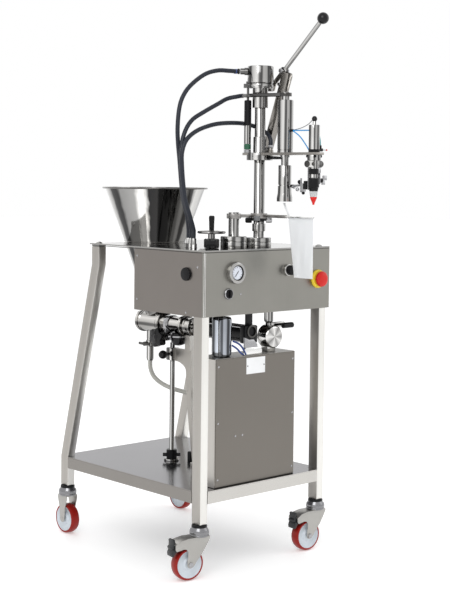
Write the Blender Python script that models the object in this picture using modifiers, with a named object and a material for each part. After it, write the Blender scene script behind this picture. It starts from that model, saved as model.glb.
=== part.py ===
"""Single-head piston doser on a wheeled stainless cart, with a lever-operated pouch filling head.

Metres, +Z up.  Places are written from the cart's front left corner on the floor: X runs
right along the front, Y runs to the back.  One empty carries the whole cart, so that the
model's origin is under the middle of its bounding box.
"""
import math

import bmesh
import bpy
from mathutils import Matrix, Vector

# Cart frame
LEG_WIDTH = 0.030
LEG_DEPTH = 0.040
LEG_FOOT_HEIGHT = 0.165
FRAME_WIDTH = 0.542
PLATE_TOP = 1.000
PLATE_THICKNESS = 0.004
PAD_THICKNESS = 0.006
BACK_LEG_SETBACK = 0.515
BACK_LEG_SPLAY = 0.167
BEND_HEIGHT = 0.930
RAIL_HEIGHT = 0.036
RAIL_WIDTH = 0.030
SHELF_TOP = 0.265
SHEET = 0.0025
TUBE_ROUNDING = 0.003
PLATE_SIDE_REACH = 0.0140
PLATE_BACK_REACH = 0.008
BOLT_RADIUS = 0.010
BOLT_HEIGHT = 0.005

# Gap between pieces that touch, overlap inside one welded piece, and overrun of every cut
GAP = 0.0003
WELD = 0.001
OVERRUN = 0.006
RUNNING = 0.0006

# Housing under the plate
HOUSING_BOTTOM = 0.798
HOUSING_DEPTH = 0.325
HOUSING_WALL = 0.0020
PLUG_RADIUS = 0.020
PLUG_THICKNESS = 0.007
PLUG_SETBACK = 0.071
PLUG_DROP = 0.064

# Panel instruments
GAUGE_X = 0.131
GAUGE_DROP = 0.061
GAUGE_RADIUS = 0.0345
GAUGE_DEPTH = 0.016
SELECTOR_X = 0.105
SELECTOR_DROP = 0.125
SELECTOR_RADIUS = 0.0145
SELECTOR_DEPTH = 0.014
REGULATOR_X = 0.361
REGULATOR_RADIUS = 0.019
REGULATOR_DEPTH = 0.026
ESTOP_X = 0.500
ESTOP_DROP = 0.095
ESTOP_RADIUS = 0.021
ESTOP_COLLAR_RADIUS = 0.030
ESTOP_COLLAR_DEPTH = 0.010
ESTOP_HEAD_DEPTH = 0.014
ESTOP_TRAVEL = 0.004
ESTOP_STEM_RADIUS = 0.010

# Hopper
DOSE_X = 0.240
HOPPER_Y = 0.518
HOPPER_RIM = 1.186
HOPPER_RADIUS = 0.166
HOPPER_LIP = 0.013
HOPPER_SLOPE = 0.357
HOPPER_WALL = 0.0020
HOPPER_OUTLET = 0.025
HOPPER_SPOUT = 0.020
PLATE_HOLE_MARGIN = 0.004

# Dosing valve and cylinder
VALVE_AXIS = 0.727
VALVE_RADIUS = 0.036
VALVE_LENGTH = 0.094
VALVE_BORE = 0.027
VALVE_DISC_RADIUS = 0.038
VALVE_DISC_THICKNESS = 0.014
ROTOR_HANDLE_LENGTH = 0.062
CYLINDER_RADIUS = 0.027
CYLINDER_BORE = 0.0235
CYLINDER_FRONT = 0.357
FLANGE_THICKNESS = 0.013
FLANGE_RADIUS = 0.036
COUPLING_RADIUS = 0.030
COUPLING_LENGTH = 0.038
PISTON_ROD_RADIUS = 0.008
PISTON_HEAD_LENGTH = 0.022
DOSE_STROKE = 0.060
DRIVE_BACK = 0.248
DRIVE_FRONT = 0.036
DRIVE_WIDTH = 0.056
DRIVE_END_LENGTH = 0.024
DRIVE_BARREL_RADIUS = 0.026
CLAMP_HEIGHT = 0.686
CLAMP_Y = 0.424
STAR_RADIUS = 0.034
STAR_THICKNESS = 0.026

# Drain
DRAIN_Y = 0.537
DRAIN_RADIUS = 0.0125
DRAIN_BOTTOM = 0.591
WING_DROP = 0.077
WING_LENGTH = 0.058
HOSE_RADIUS = 0.0075
DRAIN_PORT_X = 0.300
DRAIN_PORT_HEIGHT = 0.489
DRAIN_PORT_LENGTH = 0.016

# Guide rod and support bracket
GUIDE_Y = 0.418
GUIDE_RADIUS = 0.0085
GUIDE_TOP = 0.664
GUIDE_FOOT_RADIUS = 0.026
GUIDE_FOOT_HEIGHT = 0.006
GUIDE_COLLAR_RADIUS = 0.016
GUIDE_COLLAR_HEIGHT = 0.022
BRACKET_THICKNESS = 0.010
BRACKET_TOP = 0.648
BRACKET_FRONT = 0.318
BRACKET_STRIP = 0.025
BRACKET_CLAMP = 0.043

# Control box on the shelf
BOX_LEFT = 0.070
BOX_WIDTH = 0.347
BOX_FRONT = 0.015
BOX_DEPTH = 0.100
BOX_TOP = 0.664
BOX_COVER = 0.0015
RESERVOIR_X = 0.136
RESERVOIR_Y = 0.060
RESERVOIR_RADIUS = 0.031
RESERVOIR_TOP = 0.789
FILTER_X = 0.340
FILTER_AXIS = 0.713
FILTER_RADIUS = 0.0365
HANDLE_X = 0.396
HANDLE_AXIS = 0.747
HANDLE_LENGTH = 0.046
HANDLE_RADIUS = 0.009

# Column and fixed head
COLUMN_X = 0.320
COLUMN_Y = 0.090
COLUMN_RADIUS = 0.0175
COLUMN_FLANGE_RADIUS = 0.0405
COLUMN_FLANGE_HEIGHT = 0.030
COLUMN_TOP = 1.505
COLUMN_COLLAR_BOTTOM = 1.050
COLUMN_COLLAR_TOP = 1.075
COLUMN_COLLAR_RADIUS = 0.0215
SLEEVE_BOTTOM = 1.446
SLEEVE_RADIUS = 0.025
HEAD_FLANGE_BOTTOM = 1.508
HEAD_FLANGE_RADIUS = 0.034
DRUM_BOTTOM = 1.523
DRUM_RADIUS = 0.042
DRUM_TOP = 1.579
DRUM_PORT_HEIGHT = 1.562
PORT_RADIUS = 0.010
PORT_LENGTH = 0.024

# Carriage that rides on the column
FILL_STROKE = 0.035
CARRIAGE_TOP = 1.302
ARM_THICKNESS = 0.008
ARM_WIDTH = 0.052
DISC_RADIUS = 0.042
DISC_BOTTOM = 1.278
BUSH_RADIUS = 0.0215
BUSH_TOP = 1.353
LOCK_LENGTH = 0.050
LOCK_RADIUS = 0.005
LEVER_X = 0.372
POST_BASE_Y = 0.112
POST_TOP_Y = 0.022
POST_TOP = 1.549
POST_WIDTH = 0.028
POST_DEPTH = 0.024
HUB_Y = 0.036
HUB_HEIGHT = 1.565
HUB_RADIUS = 0.012
LEVER_RADIUS = 0.0065
BALL_Y = -0.132
BALL_HEIGHT = 1.719
BALL_RADIUS = 0.0185
SHORT_END_Y = 0.080
SHORT_END_HEIGHT = 1.527
LINK_PIN_Y = 0.0868
LINK_PIN_HEIGHT = 1.508
LINK_WIDTH = 0.013
LINK_THICKNESS = 0.004
PIN_RADIUS = 0.003

# Balance strut beside the column
STRUT_X = 0.291
STRUT_Y = 0.117
STRUT_RADIUS = 0.0115
STRUT_TOP = 1.470
STRUT_ROD_RADIUS = 0.004
STRUT_ROD_TOP = 1.530

# Filling cylinder
FILL_Y = -0.025
FILL_RADIUS = 0.0245
FILL_TOP = 1.467
FILL_CAP_TOP = 1.492
NECK_RADIUS = 0.012
NOZZLE_TOP = 1.262
NOZZLE_RADIUS = 0.0205
NOZZLE_SPLIT = 1.201
NOZZLE_BOTTOM = 1.148
NOZZLE_FOOT_RADIUS = 0.0245
FEED_HEIGHT = 1.484
FEED_RADIUS = 0.005

# Capping cylinder
CAPPER_Y = -0.151
CAPPER_RADIUS = 0.017
CAPPER_TOP = 1.386
CAPPER_BALL = 0.0085
CLAMP_BAR_BOTTOM = 1.255
CLAMP_BAR_TOP = 1.277
CLAMP_BAR_LENGTH = 0.057
SPINDLE_BOTTOM = 1.223
SPINDLE_RADIUS = 0.0125
CHUCK_BOTTOM = 1.182
CHUCK_RADIUS = 0.017
TIP_BOTTOM = 1.140
TIP_RADIUS = 0.011

# Limit post, pouch holder and pouch
POST_X = 0.212
POST_Y = 0.092
POST_RADIUS = 0.017
POST_HEIGHT = 1.112
POST_FLANGE_RADIUS = 0.042
POST_FLANGE_HEIGHT = 0.036
HOLDER_HEIGHT = 1.100
HOLDER_BAR = 0.010
HOLDER_CLAMP_RADIUS = 0.027
HOLDER_CLAMP_HEIGHT = 0.016
HOLDER_ARM_X = 0.350
RAIL_START_Y = -0.035
RAIL_END_Y = -0.152
RAIL_SPAN = 0.034
POUCH_TOP = 1.103
POUCH_BOTTOM = 0.910
POUCH_THICKNESS = 0.006
POUCH_TOP_FRONT = -0.041
POUCH_BOTTOM_FRONT = -0.072
POUCH_BACK = -0.152

# Dose handwheel
WHEEL_X = 0.125
WHEEL_Y = 0.100
WHEEL_RADIUS = 0.045
WHEEL_HEIGHT = 1.044
WHEEL_RIM = 0.0045
WHEEL_HUB_RADIUS = 0.011
GRIP_RADIUS = 0.009
GRIP_LENGTH = 0.044
LOCK_NUT_RADIUS = 0.025
LOCK_NUT_HEIGHT = 0.030
SPINDLE_SHAFT = 0.006

# Hose glands and hoses
GLAND_RADIUS = 0.008
GLAND_HEIGHT = 0.030
GLAND_SPACING = 0.017
GLAND_X = 0.095
GLAND_Y = 0.146
HOSE_BORE_RADIUS = 0.007

# Casters
WHEEL_DIAMETER = 0.100
TREAD_WIDTH = 0.032
CASTER_FORK_GAP = 0.004
FORK_THICKNESS = 0.003
FORK_ARM = 0.046
CASTER_TRAIL = 0.042
FORK_CROWN_HEIGHT = 0.132
RACE_RADIUS = 0.031
RACE_TOP = 0.155
SEAL_RADIUS = 0.022
AXLE_RADIUS = 0.005
HUB_BORE_RADIUS = 0.0058
LEFT_TRAIL_DIRECTION = (-0.983, 0.180)
RIGHT_TRAIL_DIRECTION = (-0.997, 0.080)
PEDAL_LENGTH = 0.046
PEDAL_WIDTH = 0.034
PEDAL_THICKNESS = 0.010

# Places derived from the sizes above
FRAME_TOP = PLATE_TOP - PLATE_THICKNESS - PAD_THICKNESS
GAUGE_HEIGHT = FRAME_TOP - GAUGE_DROP
SELECTOR_HEIGHT = FRAME_TOP - SELECTOR_DROP
ESTOP_HEIGHT = FRAME_TOP - ESTOP_DROP
PLUG_HEIGHT = FRAME_TOP - PLUG_DROP
WING_HEIGHT = VALVE_AXIS - WING_DROP
PLATE_BOTTOM = PLATE_TOP - PLATE_THICKNESS
BACK_LEG_Y = BACK_LEG_SETBACK + BACK_LEG_SPLAY
BASE_DEPTH = BACK_LEG_Y + LEG_DEPTH
RAIL_TOP = SHELF_TOP - SHEET
RAIL_BOTTOM = RAIL_TOP - RAIL_HEIGHT
RIGHT_LEG_X = FRAME_WIDTH - LEG_WIDTH
WHEEL_CENTRE = WHEEL_DIAMETER / 2.0
BENCH = PLATE_TOP + GAP
SHELF_SEAT = SHELF_TOP + GAP

# The model's origin: middle of the bounding box, as shares of the frame's width and depth
ORIGIN_X = FRAME_WIDTH * 0.4314
ORIGIN_Y = BASE_DEPTH * 0.4009

ROUND = 20
SMALL = 16
TINY = 12


def clear_scene():
    for item in list(bpy.data.objects):
        bpy.data.objects.remove(item, do_unlink=True)
    for group in list(bpy.data.collections):
        bpy.data.collections.remove(group)


clear_scene()
doser = bpy.data.collections.new("piston_doser")
cutters = bpy.data.collections.new("cutters_and_guides")
bpy.context.scene.collection.children.link(doser)
bpy.context.scene.collection.children.link(cutters)

corner = bpy.data.objects.new("cart_corner", None)
corner.location = (-ORIGIN_X, -ORIGIN_Y, 0.0)
doser.objects.link(corner)


def material(name, colour, roughness, metallic):
    mat = bpy.data.materials.new(name)
    mat.use_nodes = True
    shader = mat.node_tree.nodes["Principled BSDF"]
    shader.inputs["Base Color"].default_value = (colour[0], colour[1], colour[2], 1.0)
    shader.inputs["Roughness"].default_value = roughness
    shader.inputs["Metallic"].default_value = metallic
    mat.diffuse_color = (colour[0], colour[1], colour[2], 1.0)
    return mat


STEEL = (0.62, 0.60, 0.57)
CHROME = (0.75, 0.75, 0.74)
BLACK = (0.02, 0.02, 0.022)
NAVY = (0.015, 0.02, 0.035)
RED = (0.62, 0.03, 0.03)
WHITE = (0.85, 0.86, 0.86)


def shade(mesh):
    mesh.shade_smooth()
    mesh.set_sharp_from_angle(angle=math.radians(35.0))


def register(obj, node):
    """Put an object in the model when it has a look, or else among the guides."""
    if node is None:
        cutters.objects.link(obj)
        obj.hide_render = True
        obj.display_type = "WIRE"
    else:
        doser.objects.link(obj)
        look_name, colour, roughness, metallic = node
        obj.data.materials.clear()
        obj.data.materials.append(material(look_name, colour, roughness, metallic))
    obj.parent = corner
    return obj


def from_bmesh(name, bm, place, node):
    bmesh.ops.recalc_face_normals(bm, faces=bm.faces)
    mesh = bpy.data.meshes.new(name)
    bm.to_mesh(mesh)
    bm.free()
    shade(mesh)
    obj = bpy.data.objects.new(name, mesh)
    obj.location = place
    return register(obj, node)


def box(name, low, high, node=None, rounding=0.0, origin=None):
    """A box between two corners, with its origin at its middle or at a given point."""
    middle = [(a + b) / 2.0 for a, b in zip(low, high)]
    size = [b - a for a, b in zip(low, high)]
    place = middle if origin is None else origin
    bm = bmesh.new()
    bmesh.ops.create_cube(bm, size=1.0)
    bmesh.ops.scale(bm, vec=size, verts=bm.verts)
    bmesh.ops.translate(bm, vec=[m - p for m, p in zip(middle, place)], verts=bm.verts)
    if rounding > 0.0:
        bmesh.ops.bevel(bm, geom=bm.edges[:], offset=rounding, segments=1, affect="EDGES")
    return from_bmesh(name, bm, place, node)


TURN = {
    "Z": Matrix.Identity(4),
    "X": Matrix.Rotation(math.radians(90.0), 4, "Y"),
    "Y": Matrix.Rotation(math.radians(-90.0), 4, "X"),
}


def rod(name, start, length, radius, axis="Z", node=None, sides=SMALL, far_radius=None, origin=None):
    """A cylinder or cone from a start point along +axis."""
    far = radius if far_radius is None else far_radius
    bm = bmesh.new()
    bmesh.ops.create_cone(bm, cap_ends=True, segments=sides, radius1=radius, radius2=far, depth=length)
    bmesh.ops.translate(bm, vec=(0.0, 0.0, length / 2.0), verts=bm.verts)
    bmesh.ops.transform(bm, matrix=TURN[axis], verts=bm.verts)
    place = start if origin is None else origin
    bmesh.ops.translate(bm, vec=[s - p for s, p in zip(start, place)], verts=bm.verts)
    return from_bmesh(name, bm, place, node)


def ball(name, centre, radius, node=None, sides=TINY, origin=None):
    place = centre if origin is None else origin
    bm = bmesh.new()
    bmesh.ops.create_uvsphere(bm, u_segments=sides, v_segments=sides // 2, radius=radius)
    bmesh.ops.translate(bm, vec=[c - p for c, p in zip(centre, place)], verts=bm.verts)
    return from_bmesh(name, bm, place, node)


def turned(name, profile, place, axis="Z", node=None, sides=ROUND):
    """A closed profile of (radius, height) turned about an axis with a Screw modifier."""
    mesh = bpy.data.meshes.new(name)
    points = [(radius, 0.0, height) for radius, height in profile]
    on_axis = [abs(point[0]) < GAP for point in points]
    count = len(points)
    edges = [(i, (i + 1) % count) for i in range(count)]
    edges = [edge for edge in edges if not (on_axis[edge[0]] and on_axis[edge[1]])]
    mesh.from_pydata(points, edges, [])
    obj = bpy.data.objects.new(name, mesh)
    obj.location = place
    obj.rotation_euler = TURN[axis].to_euler()
    screw = obj.modifiers.new("Turn", "SCREW")
    screw.axis = "Z"
    screw.angle = math.radians(360.0)
    screw.steps = sides
    screw.render_steps = sides
    screw.use_merge_vertices = True
    screw.merge_threshold = 0.00005
    screw.use_smooth_shade = True
    return register(obj, node)


def stack(*steps):
    """Profile down the outside of a solid turned piece: pairs of (radius, height), top first."""
    top = steps[0][1]
    bottom = steps[-1][1]
    return [(0.0, top)] + list(steps) + [(0.0, bottom)]


def baked(name, source, node, origin=None):
    """Turn a curve object into a welded mesh object."""
    bpy.context.view_layer.update()
    evaluated = source.evaluated_get(bpy.context.evaluated_depsgraph_get())
    mesh = bpy.data.meshes.new_from_object(evaluated)
    bm = bmesh.new()
    bm.from_mesh(mesh)
    bmesh.ops.remove_doubles(bm, verts=bm.verts, dist=0.00005)
    bmesh.ops.transform(bm, matrix=source.matrix_basis, verts=bm.verts)
    place = Vector((0.0, 0.0, 0.0)) if origin is None else Vector(origin)
    bmesh.ops.translate(bm, vec=-place, verts=bm.verts)
    bm.to_mesh(mesh)
    bm.free()
    shade(mesh)
    curve = source.data
    bpy.data.objects.remove(source)
    bpy.data.curves.remove(curve)
    mesh.materials.clear()
    obj = bpy.data.objects.new(name, mesh)
    obj.location = place
    return register(obj, node)


def cut_sheet(name, outline, thickness, plane, level, node=None, holes=(), origin=None):
    """A flat outline with holes, extruded; plane is XY, YZ or XZ and level its middle."""
    curve = bpy.data.curves.new(name, "CURVE")
    curve.dimensions = "2D"
    curve.fill_mode = "BOTH"
    curve.extrude = thickness / 2.0
    for loop in [outline] + list(holes):
        spline = curve.splines.new("POLY")
        spline.points.add(len(loop) - 1)
        spline.use_cyclic_u = True
        for point, (u, v) in zip(spline.points, loop):
            point.co = (u, v, 0.0, 1.0)
    source = bpy.data.objects.new(name, curve)
    bpy.context.scene.collection.objects.link(source)
    if plane == "XY":
        source.matrix_basis = Matrix.Translation((0.0, 0.0, level))
    elif plane == "YZ":
        turn = Matrix(((0, 0, 1, 0), (1, 0, 0, 0), (0, 1, 0, 0), (0, 0, 0, 1)))
        source.matrix_basis = Matrix.Translation((level, 0.0, 0.0)) @ turn
    else:
        turn = Matrix(((1, 0, 0, 0), (0, 0, -1, 0), (0, 1, 0, 0), (0, 0, 0, 1)))
        source.matrix_basis = Matrix.Translation((0.0, level, 0.0)) @ turn
    return baked(name, source, node, origin)


def smooth_route(points, spacing):
    """Points at an even spacing on a Catmull-Rom curve through the route's own points."""
    knots = [Vector(point) for point in points]
    ends = [knots[0] * 2.0 - knots[1]] + knots + [knots[-1] * 2.0 - knots[-2]]
    fine = []
    pieces = 16
    for i in range(1, len(ends) - 2):
        a, b, c, d = ends[i - 1], ends[i], ends[i + 1], ends[i + 2]
        for step in range(pieces):
            t = step / pieces
            fine.append(0.5 * ((b * 2.0) + (c - a) * t + (a * 2.0 - b * 5.0 + c * 4.0 - d) * t ** 2
                               + (b * 3.0 - a - c * 3.0 + d) * t ** 3))
    fine.append(knots[-1])
    run = [0.0]
    for first, second in zip(fine, fine[1:]):
        run.append(run[-1] + (second - first).length)
    count = max(2, round(run[-1] / spacing))
    route = []
    for k in range(count + 1):
        goal = run[-1] * k / count
        i = max(j for j in range(len(run)) if run[j] <= goal + GAP * 0.01)
        if i >= len(fine) - 1:
            route.append(fine[-1])
        else:
            share = (goal - run[i]) / (run[i + 1] - run[i])
            route.append(fine[i].lerp(fine[i + 1], share))
    return route


def squared(route, start_axis, end_axis):
    """Let a hose leave both of its fittings straight along their axes."""
    route[1] = route[0] + Vector(start_axis).normalized() * (route[1] - route[0]).length
    route[-2] = route[-1] + Vector(end_axis).normalized() * (route[-2] - route[-1]).length
    return route


def tube(name, route, radius, node=None, resolution=2, origin=None):
    """A round bar or hose along a route of points."""
    curve = bpy.data.curves.new(name, "CURVE")
    curve.dimensions = "3D"
    curve.bevel_depth = radius
    curve.bevel_resolution = resolution
    curve.use_fill_caps = True
    spline = curve.splines.new("POLY")
    spline.points.add(len(route) - 1)
    for point, place in zip(spline.points, route):
        point.co = (place[0], place[1], place[2], 1.0)
    source = bpy.data.objects.new(name, curve)
    bpy.context.scene.collection.objects.link(source)
    return baked(name, source, node, origin)


def boolean(target, tools, operation):
    for number, tool in enumerate(tools):
        modifier = target.modifiers.new(operation.title() + str(number), "BOOLEAN")
        modifier.operation = operation
        modifier.solver = "EXACT"
        modifier.object = tool
    return target


def weld(target, *tools):
    return boolean(target, tools, "UNION")


def cut(target, *tools):
    return boolean(target, tools, "DIFFERENCE")


def circle(cx, cy, radius, sides, start=0.0, turn=2.0 * math.pi):
    closed = abs(turn) > 2.0 * math.pi * 0.999
    last = sides if closed else sides - 1
    return [(cx + radius * math.cos(start + turn * i / last), cy + radius * math.sin(start + turn * i / last))
            for i in range(sides)]


def lobes(radius, depth_share, count, sides):
    """Outline of a lobed knob about zero."""
    return [((radius * (1.0 - depth_share * 0.5 * (1.0 - math.cos(count * 2.0 * math.pi * i / sides))))
             * math.cos(2.0 * math.pi * i / sides),
             (radius * (1.0 - depth_share * 0.5 * (1.0 - math.cos(count * 2.0 * math.pi * i / sides))))
             * math.sin(2.0 * math.pi * i / sides)) for i in range(sides)]


def moved(outline, du, dv):
    return [(u + du, v + dv) for u, v in outline]


def brushed(name):
    return (name + "_steel", STEEL, 0.35, 1.0)


def polished(name):
    return (name + "_chrome", CHROME, 0.12, 1.0)


def plastic(name, colour=BLACK, roughness=0.4):
    return (name + "_plastic", colour, roughness, 0.0)


# ---- Legs and shelf ----
def front_leg(name, x):
    return box(name, (x, 0.0, LEG_FOOT_HEIGHT), (x + LEG_WIDTH, LEG_DEPTH, FRAME_TOP), brushed(name))


def back_leg(name, x):
    outline = [
        (BACK_LEG_SETBACK, FRAME_TOP),
        (BACK_LEG_SETBACK, BEND_HEIGHT),
        (BACK_LEG_Y, SHELF_TOP),
        (BACK_LEG_Y, LEG_FOOT_HEIGHT),
        (BACK_LEG_Y + LEG_DEPTH, LEG_FOOT_HEIGHT),
        (BACK_LEG_Y + LEG_DEPTH, SHELF_TOP),
        (BACK_LEG_SETBACK + LEG_DEPTH, BEND_HEIGHT),
        (BACK_LEG_SETBACK + LEG_DEPTH, FRAME_TOP),
    ]
    return cut_sheet(name, outline, LEG_WIDTH, "YZ", x + LEG_WIDTH / 2.0, brushed(name))


front_leg("front_left_leg", 0.0)
front_leg("front_right_leg", RIGHT_LEG_X)
back_leg("back_left_leg", 0.0)
back_leg("back_right_leg", RIGHT_LEG_X)

# Shelf: one welded tray, a sheet with notched corners on four rails between the legs
inset = TUBE_ROUNDING * 0.2
notch_x = LEG_WIDTH + GAP
notch_y = LEG_DEPTH + GAP
back_notch_y = BACK_LEG_Y - GAP
shelf = box("shelf", (inset, inset, RAIL_TOP - WELD), (FRAME_WIDTH - inset, BASE_DEPTH - inset, SHELF_TOP),
            brushed("shelf"))
for low_x, high_x in ((-OVERRUN, notch_x + inset), (FRAME_WIDTH - notch_x - inset, FRAME_WIDTH + OVERRUN)):
    for low_y, high_y in ((-OVERRUN, notch_y + inset), (back_notch_y - inset, BASE_DEPTH + OVERRUN)):
        cut(shelf, box("shelf_notch", (low_x, low_y, RAIL_TOP - OVERRUN), (high_x, high_y, SHELF_TOP + OVERRUN)))
weld(shelf,
     box("front_rail", (notch_x, 0.0, RAIL_BOTTOM), (FRAME_WIDTH - notch_x, RAIL_WIDTH, RAIL_TOP)),
     box("back_rail", (notch_x, BASE_DEPTH - RAIL_WIDTH, RAIL_BOTTOM), (FRAME_WIDTH - notch_x, BASE_DEPTH, RAIL_TOP)),
     box("left_rail", (0.0, notch_y, RAIL_BOTTOM), (RAIL_WIDTH, back_notch_y, RAIL_TOP)),
     box("right_rail", (FRAME_WIDTH - RAIL_WIDTH, notch_y, RAIL_BOTTOM), (FRAME_WIDTH, back_notch_y, RAIL_TOP)))


# ---- Top plate with its bolts, hopper cut-out and hose glands ----
def hopper_radius(height):
    return HOPPER_RADIUS - (HOPPER_RIM - height) * HOPPER_SLOPE


plate_back = BACK_LEG_SETBACK + LEG_DEPTH + PLATE_BACK_REACH
plate_left = -HOUSING_WALL
plate_right = FRAME_WIDTH + PLATE_SIDE_REACH
hole_radius = hopper_radius(PLATE_TOP) + PLATE_HOLE_MARGIN
hole = circle(DOSE_X, HOPPER_Y, hole_radius, 25, 0.0, -math.pi)
plate_outline = (
    [(plate_left, -HOUSING_WALL), (plate_right, -HOUSING_WALL), (plate_right, plate_back),
     (DOSE_X + hole_radius, plate_back)] + hole + [(DOSE_X - hole_radius, plate_back), (plate_left, plate_back)]
)
top_plate = cut_sheet("top_plate", plate_outline, PLATE_THICKNESS, "XY",
                      PLATE_TOP - PLATE_THICKNESS / 2.0, polished("top_plate"))
leg_middles = [(LEG_WIDTH / 2.0, LEG_DEPTH / 2.0), (RIGHT_LEG_X + LEG_WIDTH / 2.0, LEG_DEPTH / 2.0),
               (LEG_WIDTH / 2.0, BACK_LEG_SETBACK + LEG_DEPTH / 2.0),
               (RIGHT_LEG_X + LEG_WIDTH / 2.0, BACK_LEG_SETBACK + LEG_DEPTH / 2.0)]
bolts = []
for number, (x, y) in enumerate(leg_middles):
    bolts.append(rod("plate_bolt_" + str(number), (x, y, PLATE_TOP - WELD), BOLT_HEIGHT + WELD, BOLT_RADIUS,
                     sides=TINY, far_radius=BOLT_RADIUS * 0.6))
    bolts.append(box("leg_pad_" + str(number),
                     (x - LEG_WIDTH / 2.0 + WELD, y - LEG_DEPTH / 2.0 + WELD, FRAME_TOP + GAP),
                     (x + LEG_WIDTH / 2.0 - WELD, y + LEG_DEPTH / 2.0 - WELD, PLATE_BOTTOM + WELD)))
gland_places = [(GLAND_X - GLAND_SPACING * 0.25, GLAND_Y), (GLAND_X, GLAND_Y + GLAND_SPACING),
                (GLAND_X + GLAND_SPACING * 0.25, GLAND_Y + GLAND_SPACING * 2.0)]
for number, (x, y) in enumerate(gland_places):
    bolts.append(rod("hose_gland_" + str(number), (x, y, PLATE_TOP - WELD), GLAND_HEIGHT + WELD, GLAND_RADIUS,
                     sides=TINY))
weld(top_plate, *bolts)

# ---- Housing: front panel and a folded wrap along the sides ----
housing_top = PLATE_BOTTOM - GAP
housing_right = plate_right
panel_holes = [
    circle(ESTOP_X, ESTOP_HEIGHT, ESTOP_STEM_RADIUS + RUNNING, SMALL),
]
housing_front = cut_sheet("housing_front",
                          [(plate_left, HOUSING_BOTTOM), (housing_right, HOUSING_BOTTOM),
                           (housing_right, housing_top), (plate_left, housing_top)],
                          HOUSING_WALL - GAP, "XZ", -(HOUSING_WALL + GAP) / 2.0, brushed("housing_front"),
                          holes=panel_holes)
side_front = GAP
wrap_outline = [
    (-HOUSING_WALL, side_front), (-GAP, side_front),
    (-GAP, HOUSING_DEPTH - HOUSING_WALL), (housing_right - HOUSING_WALL, HOUSING_DEPTH - HOUSING_WALL),
    (housing_right - HOUSING_WALL, side_front), (housing_right, side_front),
    (housing_right, HOUSING_DEPTH), (-HOUSING_WALL, HOUSING_DEPTH),
]
housing_wrap = cut_sheet("housing_wrap", wrap_outline, housing_top - HOUSING_BOTTOM, "XY",
                         (housing_top + HOUSING_BOTTOM) / 2.0, brushed("housing_wrap"))
weld(housing_wrap, rod("side_plug", (-HOUSING_WALL - PLUG_THICKNESS, PLUG_SETBACK, PLUG_HEIGHT),
                       PLUG_THICKNESS + HOUSING_WALL / 2.0, PLUG_RADIUS, "X", sides=SMALL))
panel_face = -HOUSING_WALL - GAP

# ---- Panel instruments ----
turned("gauge", stack((GAUGE_RADIUS * 0.80, GAUGE_DEPTH), (GAUGE_RADIUS, GAUGE_DEPTH * 0.5),
                      (GAUGE_RADIUS, 0.0)), (GAUGE_X, panel_face, GAUGE_HEIGHT), "Y", polished("gauge"))
bpy.data.objects["gauge"].rotation_euler = (math.radians(90.0), 0.0, 0.0)
regulator = turned("regulator_knob",
                   stack((REGULATOR_RADIUS * 0.78, REGULATOR_DEPTH), (REGULATOR_RADIUS * 0.85, REGULATOR_DEPTH * 0.5),
                         (REGULATOR_RADIUS, REGULATOR_DEPTH * 0.35), (REGULATOR_RADIUS, 0.0)),
                   (REGULATOR_X, panel_face, GAUGE_HEIGHT), "Y", plastic("regulator_knob"), sides=SMALL)
regulator.rotation_euler = (math.radians(90.0), 0.0, 0.0)
selector = turned("selector", stack((SELECTOR_RADIUS * 0.9, SELECTOR_DEPTH * 0.6),
                                    (SELECTOR_RADIUS, SELECTOR_DEPTH * 0.45), (SELECTOR_RADIUS, 0.0)),
                  (SELECTOR_X, panel_face, SELECTOR_HEIGHT), "Y", plastic("selector"), sides=SMALL)
selector.rotation_euler = (math.radians(90.0), 0.0, 0.0)
weld(selector, box("selector_grip",
                   (SELECTOR_X - SELECTOR_RADIUS * 0.25, panel_face - SELECTOR_DEPTH, SELECTOR_HEIGHT - SELECTOR_RADIUS * 0.8),
                   (SELECTOR_X + SELECTOR_RADIUS * 0.25, panel_face - SELECTOR_DEPTH * 0.5,
                    SELECTOR_HEIGHT + SELECTOR_RADIUS * 0.8)))
estop_base = turned("estop_base",
                    [(ESTOP_STEM_RADIUS + RUNNING, ESTOP_COLLAR_DEPTH), (ESTOP_COLLAR_RADIUS * 0.9, ESTOP_COLLAR_DEPTH),
                     (ESTOP_COLLAR_RADIUS, ESTOP_COLLAR_DEPTH * 0.5), (ESTOP_COLLAR_RADIUS, 0.0),
                     (ESTOP_STEM_RADIUS + RUNNING, 0.0)],
                    (ESTOP_X, panel_face, ESTOP_HEIGHT), "Y", plastic("estop_base", (0.75, 0.6, 0.03)))
estop_base.rotation_euler = (math.radians(90.0), 0.0, 0.0)
estop_face = panel_face - ESTOP_COLLAR_DEPTH - GAP - ESTOP_TRAVEL
estop_button = turned("estop_button",
                      stack((ESTOP_RADIUS * 0.7, ESTOP_HEAD_DEPTH), (ESTOP_RADIUS, ESTOP_HEAD_DEPTH * 0.6),
                            (ESTOP_RADIUS, ESTOP_HEAD_DEPTH * 0.2), (ESTOP_RADIUS * 0.75, 0.0),
                            (ESTOP_STEM_RADIUS, 0.0), (ESTOP_STEM_RADIUS, estop_face - panel_face - HOUSING_WALL)),
                      (ESTOP_X, estop_face, ESTOP_HEIGHT), "Y", plastic("estop_button", RED), sides=SMALL)
estop_button.rotation_euler = (math.radians(90.0), 0.0, 0.0)

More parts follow.
